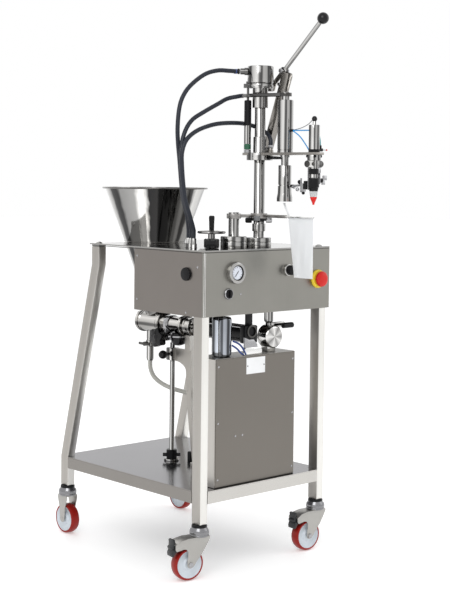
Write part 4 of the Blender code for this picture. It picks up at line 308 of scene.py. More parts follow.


# The leg, control box and shelf steels below have painted light and shade, with one tone for each way a
# face looks.
STEEL_Z = painted_face_shade_steel("ground_steel_upright_painted_face_shade", (0.43, 0.41, 0.385), (0.86, 0.85, 0.82), (0.6, 0.59, 0.57), "z",
    0.36)
STEEL_Y = ground_steel("ground_steel_lengthwise", "y", (0.30, 0.29, 0.28), 0.34)
# Painted shade: the housing's sides and front are the same sheet, and the sides get the darker tone.
SHEET = ground_steel("ground_sheet_sides", "z", (0.215, 0.197, 0.182), 0.36)
PANEL_SHEET = ground_steel("ground_sheet_front", "z", (0.268, 0.262, 0.240), 0.34)
BOX_SHEET = painted_face_shade_steel("box_sheet_painted_face_shade", (0.55, 0.53, 0.50), (0.205, 0.190, 0.172), (0.30, 0.29, 0.27), "z", 0.34)
BRIGHT = mirror_steel("bright_edge", (0.80, 0.80, 0.79), 0.14)
RIM_STEEL = mirror_steel("rolled_rim", (0.14, 0.135, 0.13), 0.14)
SHELF_STEEL = painted_face_shade_steel("shelf_sheet_painted_face_shade", (0.27, 0.255, 0.24), (0.58, 0.565, 0.54), (0.195, 0.192, 0.205), "x",
    0.18)
MIRROR = mirror_steel("polished_steel", (0.40, 0.395, 0.385), 0.12)
PLATE_MIRROR = mirror_steel("polished_plate", (0.33, 0.325, 0.315), 0.10)
LINING = mirror_steel("brushed_lining", (0.62, 0.61, 0.59), 0.20)
CAST = ground_steel("tumbled_casting", "z", (0.42, 0.41, 0.39), 0.40)
ZINC = mirror_steel("plated_steel", (0.38, 0.38, 0.39), 0.22)
CARRIAGE_STEEL = ground_steel("carriage_steel", "z", (0.29, 0.275, 0.255), 0.28)
# The polished rounds below get their reflections painted into their colour as streaks.
STRUT_CHROME = painted_reflection_steel("polished_strut_painted_reflection", at(0.291, 0.117, 0))
WHEEL_CHROME = painted_reflection_steel("polished_handwheel_painted_reflection", at(0.125, 0.100, 0), bright=(0.5, 0.49, 0.48))
GLAND_CHROME = painted_reflection_steel("polished_gland_painted_reflection", at(0.095, 0.163, 0))
DRAIN_CHROME = painted_reflection_steel("polished_drain_painted_reflection", at(0.24, 0.537, 0))
RISER_CHROME = painted_reflection_steel("polished_riser_painted_reflection", at(0.34, 0.060, 0))
# Painted shade: shadowed_steel is steel darkened to a shadow's tone.
DARK_STEEL = mirror_steel("shadowed_steel", (0.075, 0.073, 0.070), 0.18)
CONE_CHROME = painted_reflection_steel("polished_cone_painted_reflection", at(0.24, 0.518, 0), stops=CONE_PAINTED_REFLECTIONS, roughness=0.09)
POLE_CHROME = painted_reflection_steel("polished_column_painted_reflection", at(0.32, 0.09, 0))
POST_CHROME = painted_reflection_steel("polished_post_painted_reflection", at(0.212, 0.092, 0))
FILLER_CHROME = painted_reflection_steel("polished_filler_painted_reflection", at(0.32, -0.025, 0))
CAPPER_CHROME = painted_reflection_steel("polished_capper_painted_reflection", at(0.32, -0.151, 0))
TANK_CHROME = painted_reflection_steel("polished_tank_painted_reflection", at(0.136, 0.060, 0), bright=(0.80, 0.85, 0.94))
# Painted reflection bands round the filter's turned face.
CONIC_PAINTED_REFLECTIONS = rows("0 30, 8 80, 18 30, 28 75, 40 25, 50 90, 60 35, 72 95, 82 30, 92 70, 100 30", 100)
FILTER_CHROME = painted_reflection_steel("turned_face_painted_reflection", at(0.340, 0.0, 0.713), (0, 1, 0), CONIC_PAINTED_REFLECTIONS)
GUIDE_CHROME = painted_reflection_steel("polished_guide_painted_reflection", at(0.24, 0.418, 0))
BARREL_CHROME = painted_reflection_steel("polished_barrel_painted_reflection", at(0.24, 0.0, 0.727), (0, 1, 0), BARREL_PAINTED_REFLECTIONS,
    (0.8, 0.78, 0.75))

print("steels", len(bpy.data.materials))

# %% [markdown]
# ## Plastic, rubber and film
# Moulded pieces have an even colour, a fine skin and a few handling marks. The pouch is milky
# film with soft creases, and its colour is darker in their hollows as painted shade.

# %% Plastic and rubber
def moulded(name, colour, roughness=0.4, grain=0.25, size=900.0, **fixed):
    """Moulded plastic or rubber: an even colour with a fine skin and slight handling marks."""
    skin = Finish(name, colour, roughness, 0.0, **fixed)
    fine = skin.noise(size, 2.0)
    cloud = skin.noise(18.0, 3.0)
    skin.feed(skin.shader.inputs["Base Color"],
        skin.blend(cloud, tuple((c * 0.86 for c in colour)), tuple((min(1.0, c * 1.14) for c in colour))))
    skin.feed(skin.shader.inputs["Roughness"], cloud * 0.14 + (fine * 0.08 + (roughness - 0.11)))
    skin.bump(fine, grain, 0.0002)
    return skin.material


BLACK = moulded("black_plastic", (0.006, 0.006, 0.007), 0.34, Specular_IOR_Level=0.18)
GLOSS_BLACK = moulded("black_phenolic", (0.004, 0.004, 0.005), 0.16, 0.05, Specular_IOR_Level=0.30)
HOSE = moulded("navy_hose", (0.014, 0.017, 0.026), 0.38, 0.3, 500.0, Specular_IOR_Level=0.32)
MILK_HOSE = moulded("milky_hose", (0.46, 0.455, 0.42), 0.28, 0.1)
TREAD = moulded("red_tread", (0.27, 0.010, 0.006), 0.30, Specular_IOR_Level=0.25)
NYLON = moulded("pale_nylon", (0.60, 0.65, 0.70), 0.34)
RED = moulded("red_plastic", (0.62, 0.018, 0.014), 0.30, 0.1, Specular_IOR_Level=0.25)
YELLOW = moulded("yellow_plastic", (0.82, 0.60, 0.03), 0.34)
GREY_BLACK = moulded("pedal_plastic", (0.020, 0.021, 0.023), 0.40, Specular_IOR_Level=0.4)
GREY = moulded("grey_plastic", (0.16, 0.165, 0.17), 0.42)
BLUE = moulded("blue_tube", (0.03, 0.28, 0.62), 0.30, 0.05)
TEAL = moulded("teal_tube", (0.03, 0.30, 0.34), 0.30, 0.05)
DARK_BLUE = moulded("dark_blue_tube", (0.015, 0.045, 0.20), 0.32, 0.05)
DIAL = moulded("white_enamel", (0.66, 0.69, 0.76), 0.30, 0.02)
LABEL = moulded("bare_plate", (0.80, 0.81, 0.82), 0.36, 0.05)
GREEN = moulded("green_lens", (0.015, 0.10, 0.05), 0.15, 0.02)
CLEAR_GREY = moulded("frosted_plastic", (0.62, 0.64, 0.64), 0.25, 0.05, 900.0, Transmission_Weight=0.45)


def film():
    """White pouch film: milky, a little glossy, with soft creases running down it and painted shade in
    their hollows.
    """
    skin = Finish("pouch_film", (0.86, 0.87, 0.88), 0.32, 0.0, Transmission_Weight=0.12, Sheen_Weight=0.1)
    creases = skin.noise(7.0, 3.0, (1, 2.0, 0.6))
    fine = skin.noise(60.0, 2.0, (1, 1, 0.5))
    # Painted shade: the film's colour is darker where the crease bump dips.
    skin.feed(skin.shader.inputs["Base Color"], skin.blend(creases, (0.78, 0.80, 0.82), (0.92, 0.93, 0.94)))
    skin.feed(skin.shader.inputs["Roughness"], creases * 0.2 + (fine * 0.1 + 0.2))
    skin.bump(creases * 0.8 + fine * 0.2, 0.5, 0.004)
    return skin.material


FILM = film()
print("finishes", len(bpy.data.materials))

# %% [markdown]
# ## Hoses first
# Three rubber hoses leave the glands at the plate's front left corner and rise in one bundle
# before they part for the head, the filler and the carriage's air elbow. A hose is a round tube
# on one smooth curve, so each route is a few places joined by a Catmull-Rom curve and walked at
# an even step. Two of them end on the carriage that moves, and run between cart and carriage.

# %% Routes
def walk(points, step):
    """Even steps along the smooth curve through the points."""
    ends = [points[0] * 2 - points[1]] + points + [points[-1] * 2 - points[-2]]
    fine = []
    for a, b, c, d in zip(ends, ends[1:], ends[2:], ends[3:]):
        for t in (k / 16 for k in range(16)):
            fine.append(0.5 * (b * 2 + (c - a) * t + (a * 2 - b * 5 + c * 4 - d) * t ** 2 + (b * 3 - a - c * 3 + d) * t ** 3))
    fine.append(points[-1])
    run = [0.0]
    for first, second in zip(fine, fine[1:]):
        run.append(run[-1] + (second - first).length)
    count, route, i = max(2, round(run[-1] / step)), [], 0
    for k in range(count + 1):
        goal = run[-1] * k / count
        while i < len(fine) - 2 and run[i + 1] < goal:
            i += 1
        route.append(fine[i].lerp(fine[i + 1], min(1.0, (goal - run[i]) / (run[i + 1] - run[i]))))
    return route


def straight_ends(route, first, last):
    """The hose leaves both fittings along their own axes."""
    route[1] = route[0] + Vector(first).normalized() * (route[1] - route[0]).length
    route[-2] = route[-1] + Vector(last).normalized() * (route[-2] - route[-1]).length
    return route


def length_of(route):
    return sum((b - a).length for a, b in zip(route, route[1:]))


# %% [markdown]
# ## Drawing the hoses
# A curve with a round bevel is the quickest tube there is. Each hose then gets its finish and hides
# the solid that it stands for, and the two that stay on the cart ride on its body.

# %% Tubes
def deselect():
    if bpy.context.mode != "OBJECT":
        bpy.ops.object.mode_set(mode="OBJECT")
    bpy.ops.object.select_all(action="DESELECT")


def tube(name, route, radius, fineness=5):
    """A round tube along a route, made of a bevelled curve and turned into a mesh."""
    deselect()
    curve = bpy.data.curves.new(name, "CURVE")
    curve.dimensions, curve.bevel_depth, curve.bevel_resolution = "3D", radius, fineness
    curve.use_fill_caps = True
    line = curve.splines.new("POLY")
    line.points.add(len(route) - 1)
    for point, place in zip(line.points, route):
        point.co = (*place, 1.0)
    piece = bpy.data.objects.new(name, curve)
    bpy.context.scene.collection.objects.link(piece)
    piece.select_set(True)
    bpy.context.view_layer.objects.active = piece
    bpy.ops.object.convert(target="MESH")
    bpy.ops.object.shade_smooth_by_angle(angle=math.radians(40))
    return bpy.context.object


def coat(piece, material):
    piece.data.materials.clear()
    piece.data.materials.append(material)
    return piece



# %% Hose routes
PORT_WAY = Vector((-0.7366, 0.6763, 0))
drum_route = straight_ends(walk(places("99.3 180 1030.3, 99.3 180 1055, 88 175 1100, 68 171 1150, "
            "59 170 1197, 50 170 1275, 43 170 1330, 41 170 1380, 48 170 1440, 66 170 1480, 99 170 1514, "
            "153 169 1548, 200 161 1562, 238 149.5 1562.5, 271.16 134.84 1562"), 0.012), UP, PORT_WAY)
feed_route = straight_ends(walk(places("95 163 1030.3, 95 163 1055, 80 157 1100, 58 155 1150, "
            "50 155 1197, 44 155 1260, 43 154 1310, 56 154 1360, 85 154 1399, 133 154 1426, 195 155 1455, "
            "240 155 1475, 276 123.2 1484"), 0.012), UP, (0, 1, 0))
air_route = straight_ends(walk(places("90.8 146 1030.3, 90.8 146 1055, 71 142 1100, 49 139 1150, "
            "40 139 1197, 33 138.5 1260, 34 139 1300, 52 139 1338, 95 139 1367, 158 139 1387, "
            "218 141 1395, 285 143.5 1397, 322 142 1393, 342 129 1386, 349 106 1374, 349 82 1362, "
            "344 64.2 1342, 344 64.2 1317.3"), 0.012), UP, UP)
drain_route = straight_ends(walk(places("240 537 590.7, 240 537 572, 245 536 553, 252 528 533, "
            "262 505 515, 270 468 503, 276 425 497, 282 385 494, 290 350 492, 297 300 490, 300 230 489, "
            "300 170 489, 300 131.3 489"), 0.012), (0, 0, -1), (0, 1, 0))

# %% Hoses
for name, node, route, radius, finish in (
        ("drum_air_hose", "drum_hose", drum_route, 0.007, HOSE),
        ("product_hose", "feed_hose", feed_route, 0.007, HOSE),
        ("carriage_air_hose", "air_hose", air_route, 0.007, HOSE),
        ("drain_tube", "drain_hose", drain_route, 0.0075, MILK_HOSE)):
    hose = coat(tube(name, route, radius), finish)
    if node in ("feed_hose", "air_hose"):
        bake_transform(hose)
    else:
        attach(hose, "cart")
    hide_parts(node)
    length_of(route)
    radius * 2
    print(name, round(length_of(route), 3), "m")

# %% [markdown]
# ## Turning, cutting and joining
# Nearly every fitting here came off a lathe. On screen a lathe is one point pulled along a
# profile and spun round an axis. Flat parts are an outline drawn point by point, filled and
# pulled to its thickness. A narrow bevel on the edges catches the light as a real edge does.

# %% A lathe, a saw and a press
def smooth(piece, soften=0.0, segments=2):
    """Bevel the sharp edges a little and shade the rest round."""
    deselect()
    piece.select_set(True)
    bpy.context.view_layer.objects.active = piece
    if soften > 0:
        edge = piece.modifiers.new("soft edges", "BEVEL")
        edge.width, edge.segments, edge.limit_method = soften, segments, "ANGLE"
        edge.angle_limit = math.radians(35)
        bpy.ops.object.modifier_apply(modifier=edge.name)
    bpy.ops.object.shade_smooth_by_angle(angle=math.radians(38))
    return piece


def one_point(name, where):
    """A plane squeezed to a single point: the start of a drawn outline."""
    deselect()
    bpy.ops.mesh.primitive_plane_add(size=0.01)
    piece = bpy.context.object
    piece.name = piece.data.name = name
    bpy.ops.object.mode_set(mode="EDIT")
    bpy.ops.mesh.select_all(action="SELECT")
    bpy.ops.mesh.merge(type="CENTER")
    bpy.ops.transform.translate(value=where)
    return piece


def draw(points):
    for first, second in zip(points, points[1:]):
        bpy.ops.mesh.extrude_region_move(TRANSFORM_OT_translate={"value": second - first})


def turned(name, outline, foot, along=(0, 0, 1), steps=48, soften=0.0):
    """A profile of (radius, distance along the axis), spun once round it."""
    along = Vector(along).normalized()
    out = along.orthogonal().normalized()
    points = [foot + along * run + out * radius for radius, run in outline]
    piece = one_point(name, points[0])
    draw(points)
    bpy.ops.mesh.select_all(action="SELECT")
    bpy.ops.mesh.spin(steps=steps, angle=math.tau, center=foot, axis=along)
    bpy.ops.mesh.select_all(action="SELECT")
    bpy.ops.mesh.remove_doubles(threshold=0.00002)
    bpy.ops.mesh.normals_make_consistent(inside=False)
    bpy.ops.object.mode_set(mode="OBJECT")
    return smooth(piece, soften)


def solid(text):
    """The outline of a full turned piece from rows of radius and height, closed on its axis."""
    steps = mm(text)
    return [(0.0, steps[0][1]), *steps, (0.0, steps[-1][1])]


def ring(text):
    """The outline of a hollow turned piece, which comes back to its first point."""
    steps = mm(text)
    return steps + steps[:1]


def beads(radius, height, count):
    """The outline of a ball on the axis, with a small flat at each end."""
    steps = [(radius * math.sin(math.pi * k / count), height - radius * math.cos(math.pi * k / count))
             for k in range(1, count)]
    return [(0.0, steps[0][1]), *steps, (0.0, steps[-1][1])]


def wire(radius, thick, height, count):
    """The outline of a ring of round wire."""
    return [(radius + thick * math.cos(math.tau * k / count),
            height + thick * math.sin(math.tau * k / count))
            for k in range(count + 1)]


def pressed(name, points, push, soften=0.0005):
    """A flat outline, filled and pulled to its thickness."""
    piece = one_point(name, points[0])
    draw(points)
    bpy.ops.mesh.select_all(action="SELECT")
    bpy.ops.mesh.edge_face_add()
    bpy.ops.mesh.extrude_region_move(TRANSFORM_OT_translate={"value": Vector(push)})
    bpy.ops.mesh.select_all(action="SELECT")
    bpy.ops.mesh.normals_make_consistent(inside=False)
    bpy.ops.object.mode_set(mode="OBJECT")
    return smooth(piece, soften)


def block(name, corners, soften=0.001):
    """A bar or plate between two corners, in millimetres, with softened edges."""
    deselect()
    low, high = places(corners)
    bpy.ops.mesh.primitive_cube_add(size=1, location=(low + high) / 2, scale=high - low)
    piece = bpy.context.object
    piece.name = piece.data.name = name
    bpy.ops.object.transform_apply(location=True, rotation=True, scale=True)
    return smooth(piece, soften)


def joined(name, *parts):
    deselect()
    for part in parts:
        part.select_set(True)
    bpy.context.view_layer.objects.active = parts[0]
    bpy.ops.object.join()
    piece = bpy.context.object
    piece.name = piece.data.name = name
    return piece


def fit(piece, material, body, *nodes):
    """Give a piece its finish, its body and the solids that it stands for."""
    coat(piece, material)
    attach(piece, body)
    if nodes:
        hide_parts(*nodes)
    return piece


def cut(piece, tool):
    """Take the tool's shape out of the piece."""
    bite = piece.modifiers.new("cut", "BOOLEAN")
    bite.operation, bite.solver, bite.object = "DIFFERENCE", "EXACT", tool
    deselect()
    piece.select_set(True)
    bpy.context.view_layer.objects.active = piece
    bpy.ops.object.modifier_apply(modifier=bite.name)
    bpy.data.objects.remove(tool)
    return piece


# %% [markdown]
# ## Legs, shelf and sheet metal
# The frame is rectangular tube with rolled corners. The back legs lean out under a bend. The
# tubes are drawn again with soft corners; shelf, plate and housing keep their solids and get
# ground or polished sheet.

# %% Frame
for name, corners in (("front_left_leg", "0 0 165, 30 40 990"), ("front_right_leg",
        "512 0 165, 542 40 990")):
    fit(block(name + "_tube", corners, 0.003), STEEL_Z, "cart", name)
BACK_OUTLINE = mm("515 990, 515 930, 682 265, 682 165, 722 165, 722 265, 555 930, 555 990")
for name, x in (("back_left_leg", 0.0), ("back_right_leg", 0.512)):
    fit(pressed(name + "_tube", [at(x, y, z) for y, z in BACK_OUTLINE], (0.03, 0, 0), 0.003), STEEL_Z,
        "cart", name)
for node, material in (("shelf", SHELF_STEEL), ("top_plate", PLATE_MIRROR), ("housing_front", PANEL_SHEET),
                       ("housing_wrap", SHEET), ("control_box", BOX_SHEET), ("control_cover", BOX_SHEET),
                       ("support_bracket", STEEL_Z), ("piston", MIRROR), ("valve_rotor", STEEL_Y),
                       ("link", STEEL_Z)):
    solid_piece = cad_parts[node]
    solid_piece.data.materials.clear()
    solid_piece.data.materials.append(material)

# %% [markdown]
# ## Screws, folds and the type plate
# Small things make sheet metal believable: domed screws, hose glands, a painted highlight where
# the wrap is folded, and a bare plate on the control box.

# %% Screws and bolts
FACE = (0, -1, 0)


def dome(name, where, along, radius, height):
    outline = [(0.0, 1.0), (0.35, 1.0), (0.75, 0.75), (1.0, 0.3), (1.0, 0.0), (0.0, 0.0)]
    return turned(name, [(radius * out, height * up) for out, up in outline], where, along, 24)


SCREWS = ([(at(-0.002, y, z), -RIGHT) for y, z in mm("311 971, 311 833, 73 808, 21 949")]
          + [(at(0.556, y, z), RIGHT) for y, z in mm("311 971, 311 833, 21 833, 21 949")]
          + [(at(x, 0.0132, z), FACE) for x in (0.082, 0.405) for z in (0.290, 0.465, 0.640)]
          + [(at(x, 0.0132, 0.418), FACE) for x in (0.155, 0.185)])
for number, (place, along) in enumerate(SCREWS, 1):
    fit(dome(f"cover_screw_{number}", place, along, 0.0035, 0.0018), ZINC, "cart")
for number, (x, y) in enumerate(((0.015, 0.020), (0.527, 0.020), (0.015, 0.535), (0.527, 0.535))):
    fit(dome(f"plate_bolt_{number}", at(x, y, 1.0), UP, 0.0112, 0.0056), MIRROR, "cart")
for number, (x, y) in enumerate(((0.0908, 0.146), (0.095, 0.163), (0.0993, 0.180))):
    fit(turned(f"hose_gland_{number}",
            ring("7.2 30, 8.5 30, 8.5 14, 10.5 13, 10.5 2, 11.5 0.5, 11.5 0, 7.2 0"), at(x, y, 1.0), UP, 30,
            0.0004), GLAND_CHROME, "cart")
fit(turned("side_plug_cap", solid("16.5 8.2, 19.5 7.4, 20.6 5, 20.6 0"), at(-0.002, 0.071, 0.926),
        (-1, 0, 0), 40), BLACK, "cart")

# %% Folds, type plate and bracket
# Painted highlight: two thin strips of bright steel stand for the light on the wrap's folded edges.
fit(joined("panel_fold_painted_highlights", block("outer_fold_painted_highlight", "3 -2.8 799, 5 -1.9 995", 0.0003),
        block("inner_fold_painted_highlight", "9 -2.6 799, 10.5 -1.9 995", 0.0003)), BRIGHT, "cart")
# Painted shadow: thin dark strips under the top plate's front and left edges stand for the shade there.
fit(joined("plate_edge_painted_shadow", block("front_painted_shadow", "0 -2.8 992.2, 554 -1.9 994.4", 0.0002),
        block("side_painted_shadow", "-2.8 0 992.2, -1.9 550 994.4", 0.0002)), DARK_STEEL, "cart")
fit(block("type_plate", "199 12.2 607, 280 13.3 658", 0.0004), LABEL, "cart")
fit(joined("type_plate_screws", dome("plate_screw_1", at(0.204, 0.0122, 0.6325), FACE, 0.0022, 0.001),
        dome("plate_screw_2", at(0.275, 0.0122, 0.6325), FACE, 0.0022, 0.001)), DARK_STEEL, "cart")
fit(dome("panel_stud", at(0.157, -0.0020, 0.862), FACE, 0.0030, 0.0015), ZINC, "cart")
fit(pressed("valve_bracket_foot", [at(x, 0.024, z) for x,
        z in mm("197 664.5, 277 664.5, 277 680, 266 688, 208 688, 197 680")], (0, 0.005, 0), 0.0008),
        BRIGHT, "cart")
fit(pressed("valve_bracket", [at(x, 0.030, z) for x,
        z in mm("206 664.5, 268 664.5, 262 696, 246 712, 226 712, 206 720")], (0, 0.005, 0), 0.0008),
        ZINC, "cart")
fit(turned("drive_end_ring", ring("15 0, 20.5 0, 20.5 4, 18.5 5, 15 5"), at(0.24, 0.0352, 0.737), FACE, 40),
    DARK_STEEL, "cart")
fit(joined("box_air_tubes",
        tube("first_air_tube", walk(places("152 30 700, 165 22 690, 180 20 676, 196 24 668"), 0.005), 0.003,
            3),
        tube("second_air_tube", walk(places("160 34 712, 176 26 704, 190 22 690, 206 24 668"), 0.005),
            0.003, 3)), DARK_BLUE, "cart")

# %% [markdown]
# ## Panel instruments
# A pressure gauge with a chromed bezel, a selector, a regulator knob and a red stop button on a
# yellow collar. The dial only carries plain marks and a needle.

# %% Gauge and knobs
GAUGE = at(0.131, -0.0023, 0.929)
fit(turned("gauge_bezel", mm("0 0, 34.5 0, 34.5 10, 32.5 14.5, 28.5 16, 24 15, 23.6 10.5, 0 10.5"), GAUGE,
        FACE, 56), MIRROR, "cart", "gauge")
fit(turned("gauge_dial", solid("20.5 11.5, 20.5 10"), GAUGE, FACE, 48), DIAL, "cart")
fit(turned("gauge_seal", ring("20.6 10, 20.6 12.2, 23.4 12.2, 23.4 10"), GAUGE, FACE, 48), BLACK, "cart")
FIRST_TICK, TICK_STEP = 225, 27
marks = []
for tick in range(11):
    turn = math.radians(FIRST_TICK - tick * TICK_STEP)
    way = Vector((math.cos(turn), 0, math.sin(turn)))
    start = GAUGE + Vector((0, -0.0117, 0)) + way * 0.0150
    marks.append(tube(f"mark_{tick}", [start, start + way * 0.0040], 0.0005, 1))
marks.append(tube("needle",
        [GAUGE + Vector((0.005, -0.012, 0.006)), GAUGE + Vector((-0.009, -0.012, -0.011))], 0.0009, 2))
fit(joined("gauge_marks", *marks), BLACK, "cart")
SELECTOR = at(0.105, -0.0023, 0.865)
fit(joined("selector_switch_knob",
        turned("selector_ring", solid("12 7, 14.5 5.5, 14.5 0"), SELECTOR, FACE, 40),
        block("selector_handle", "101.5 -16.3 853.5, 108.5 -8.8 876.5", 0.0018)), BLACK, "selector_switch",
    "selector")
fit(turned("selector_bezel", ring("14.6 0, 17.5 0, 17.5 3, 16 5, 14.6 5"), SELECTOR, FACE, 40), ZINC,
    "cart")
REGULATOR = at(0.361, -0.0023, 0.929)
fit(turned("regulator_cap", solid("12.5 26, 15 24.5, 16 11.5, 16 9"), REGULATOR, FACE, 40, 0.0004), BLACK,
    "regulator", "regulator_knob")
fit(turned("regulator_ring", mm("0 9, 16.5 9, 19 7.5, 19 0, 0 0"), REGULATOR, FACE, 40, 0.0006), MIRROR,
    "regulator")
STOP = at(0.500, -0.0023, 0.895)
fit(turned("stop_collar", ring("10.6 10, 27 10, 30 5, 30 0, 10.6 0"), STOP, FACE, 48, 0.0006), YELLOW,
    "cart", "estop_base")
fit(turned("stop_mushroom", solid("12 29, 19.5 27.6, 24 24.3, 25.5 20, 25 16.5, 18 14.3, 10 14.3, 10 1"),
        STOP, FACE, 48), RED, "stop_button", "estop_button")

# %% [markdown]
# ## The hopper
# A cone rolled from thin sheet, welded down one side and polished inside and out, with a lip
# turned out at the rim. The spout below it sits on the valve's neck.

# %% Hopper
DOSE = at(0.24, 0.518, 0.0)
fit(turned("product_cone", ring("166 1186, 178.5 1186, 179 1185, 178.5 1183, 169 1182.2, 27 791, "
            "27 771.1, 25 771.1, 25 791.2, 165 1183"), DOSE, UP, 96), CONE_CHROME, "cart", "hopper")
fit(turned("cone_lining", ring("163.8 1181.5, 24.4 795, 23.8 795, 163.2 1181.5"), DOSE, UP, 96), LINING,
    "cart")
fit(turned("rolled_rim", wire(0.1770, 0.0030, 1.1836, 10), DOSE, UP, 96), RIM_STEEL, "cart")
fit(turned("weld_ring", ring("102 1004, 104.6 1004, 103 1001, 101 1001"), DOSE, UP, 72), STEEL_Y, "cart")
seam_way = Vector((-0.90, -0.436, 0)).normalized()
RIM_RADIUS, RIM_HEIGHT, CONE_SLOPE, PROUD = 0.166, 1.186, 0.357, 0.0024
seam = [DOSE + seam_way * (RIM_RADIUS - (RIM_HEIGHT - z) * CONE_SLOPE + PROUD) + Vector((0, 0, z))
        for z in (1.178, 1.10, 1.02, 0.94, 0.86, 0.80)]
fit(tube("cone_weld", seam, 0.0012, 2), STEEL_Z, "cart")

# %% [markdown]
# ## Dosing valve, cylinder and air drive
# Below the cone lie the rotary valve, the product cylinder and the air cylinder on one axis.
# Each has flanges, clamp rings and tie rods, which show under the housing on the camera's side.

# %% Valve and cylinders
AXLE = at(0.24, 0.0, 0.727)
fit(joined("valve_block",
        turned("valve_barrel", ring("27 471, 36 471, 36 478, 34 480, 34 556, 36 558, 36 565, 27 565"), AXLE,
            BACK, 56, 0.0004),
        turned("valve_neck", solid("28.5 770.7, 28.5 765, 27 763, 27 750"), DOSE, UP, 48),
        turned("neck_clamp", solid("31 764, 31 758"), DOSE, UP, 48)), BARREL_CHROME, "cart", "valve_body")
fit(turned("drain_pipe",
        ring("7.8 591, 10.5 591, 12.5 600, 12.5 640, 15 642, 15 660, 12.5 662, 12.5 700, 7.8 700"),
        at(0.24, 0.537, 0.0), UP, 36, 0.0003), DRAIN_CHROME, "cart")
fit(joined("valve_disc", turned("disc", solid("33 579.6, 38 576, 38 565.6"), AXLE, BACK, 56, 0.0004),
        turned("disc_pin", solid("4 604, 6 602, 6 576"), at(0.24, 0.0, 0.7498), BACK, 24),
        turned("disc_core", solid("26 565.6, 26 478.3"), AXLE, BACK, 40)), BARREL_CHROME, "rotor",
    "valve_rotor")
fit(joined("dose_cylinder",
        turned("cylinder_tube",
            ring("23.5 344, 36 344, 36 357, 27 357.5, 27 457.6, 36 457.6, 36 470.6, 23.5 470.6"), AXLE,
            BACK, 56, 0.0006),
        turned("coupling", ring("8.6 306, 30 306, 30 317, 28.5 318, 28.5 331, 30 332, 30 345, 8.6 345"),
            AXLE, BACK, 56, 0.0004)), BARREL_CHROME, "cart", "product_cylinder")
fit(turned("cylinder_cup", solid("10 660, 20 664, 25.5 674, 26.5 686, 22.5 701"), at(0.229, 0.374, 0), UP,
        40), GLOSS_BLACK, "cart")
fit(joined("cup_screws",
        turned("cup_ring", ring("26.2 693, 29 693, 29 688, 26.2 688"), at(0.229, 0.374, 0), UP, 40),
        turned("cup_screw", solid("4.5 -36, 6 -35, 6 -26, 6 26, 6 35, 4.5 36"), at(0.229, 0.374, 0.6905),
            across, 16),
        turned("guide_stem", solid("6 700.5, 6 663.5"), at(0.24, 0.418, 0), UP, 20)), ZINC, "cart")
fit(joined("cylinder_clamp", block("clamp_lug", "202.2 412.1 672.4, 249 435.9 702.9", 0.003),
        turned("clamp_band", ring("27.1 413, 30 413, 30 435, 27.1 435"), AXLE, BACK, 48, 0.0005)), ZINC,
    "cart")
TIE_OFFSET = 0.0225
rods = [turned("tie", solid("3 60, 3 224"), AXLE + (RIGHT * dx + UP * dz) * TIE_OFFSET, BACK, 20)
        for dx in (-1, 1) for dz in (-1, 1)]
fit(joined("drive_block", block("front_head", "212 35.2 699, 268 60 755", 0.004),
        block("back_head", "212 224 699, 268 248.8 755", 0.004),
        block("front_hanger", "226 45 754, 254 51 995.5", 0.001),
        block("back_hanger", "226 233 754, 254 239 995.5", 0.001),
        turned("drive_barrel", ring("21.5 59, 25.5 59, 25.5 225, 21.5 225"), AXLE, BACK, 48)), BLACK,
    "cart", "drive_cylinder")
fit(joined("drive_tie_rods", *rods), ZINC, "cart")

# %% [markdown]
# ## Star knobs
# A hand finds a lobed edge easily. The edge is a circle whose radius swells and shrinks.

# %% Star knobs
def lobed(name, centre, along, radius, depth, count, thickness, soften):
    """A knob whose edge swells into lobes, drawn round its axis and pulled to its thickness."""
    along = Vector(along).normalized()
    out = along.orthogonal().normalized()
    side = along.cross(out)
    points = []
    for k in range(count * 10):
        turn = math.tau * k / (count * 10)
        reach = radius * (1.0 - depth * 0.5 * (1.0 - math.cos(count * turn)))
        points.append(centre + out * math.cos(turn) * reach + side * math.sin(turn) * reach)
    return pressed(name, points, along * thickness, soften)


fit(joined("star_handle", lobed("star_body", at(0.1678, 0.424, 0.686), RIGHT, 0.034, 0.22, 6, 0.026, 0.004),
        turned("star_boss", solid("13.6 192.8, 13.6 201.8"), at(0, 0.424, 0.686), RIGHT, 32),
        turned("star_cap", solid("6 165.5, 10 166.8, 11.5 169"), at(0, 0.424, 0.686), RIGHT, 32)),
    GLOSS_BLACK, "star", "star_knob")
fit(joined("drain_wing_nut",
        turned("wing_boss", solid("7.5 212.2, 7.5 227.2"), at(0, 0.537, 0.65), RIGHT, 24),
        block("wing_bar", "210.7 508 645.5, 218.2 566 654.5", 0.0022)), DARK_STEEL, "wing", "drain_wing")
fit(joined("rod_knob",
        turned("knob_ball", solid("5.2 183.6, 9.8 186.4, 12.8 190.5, 14.2 195.5, 14.3 199.5, 12.8 205, "
                "9.8 208.8, 5.5 212, 5 223.7"), at(0, 0.418, 0.6265), RIGHT, 32)), GLOSS_BLACK, "rod_clamp",
    "clamp_knob")

# %% [markdown]
# ## The guide rod and the control box's air parts
# The rod carries the valve end on a clamp. On the control box stand an air reservoir, a filter
# regulator with its hand valve, and a few short blue tubes.

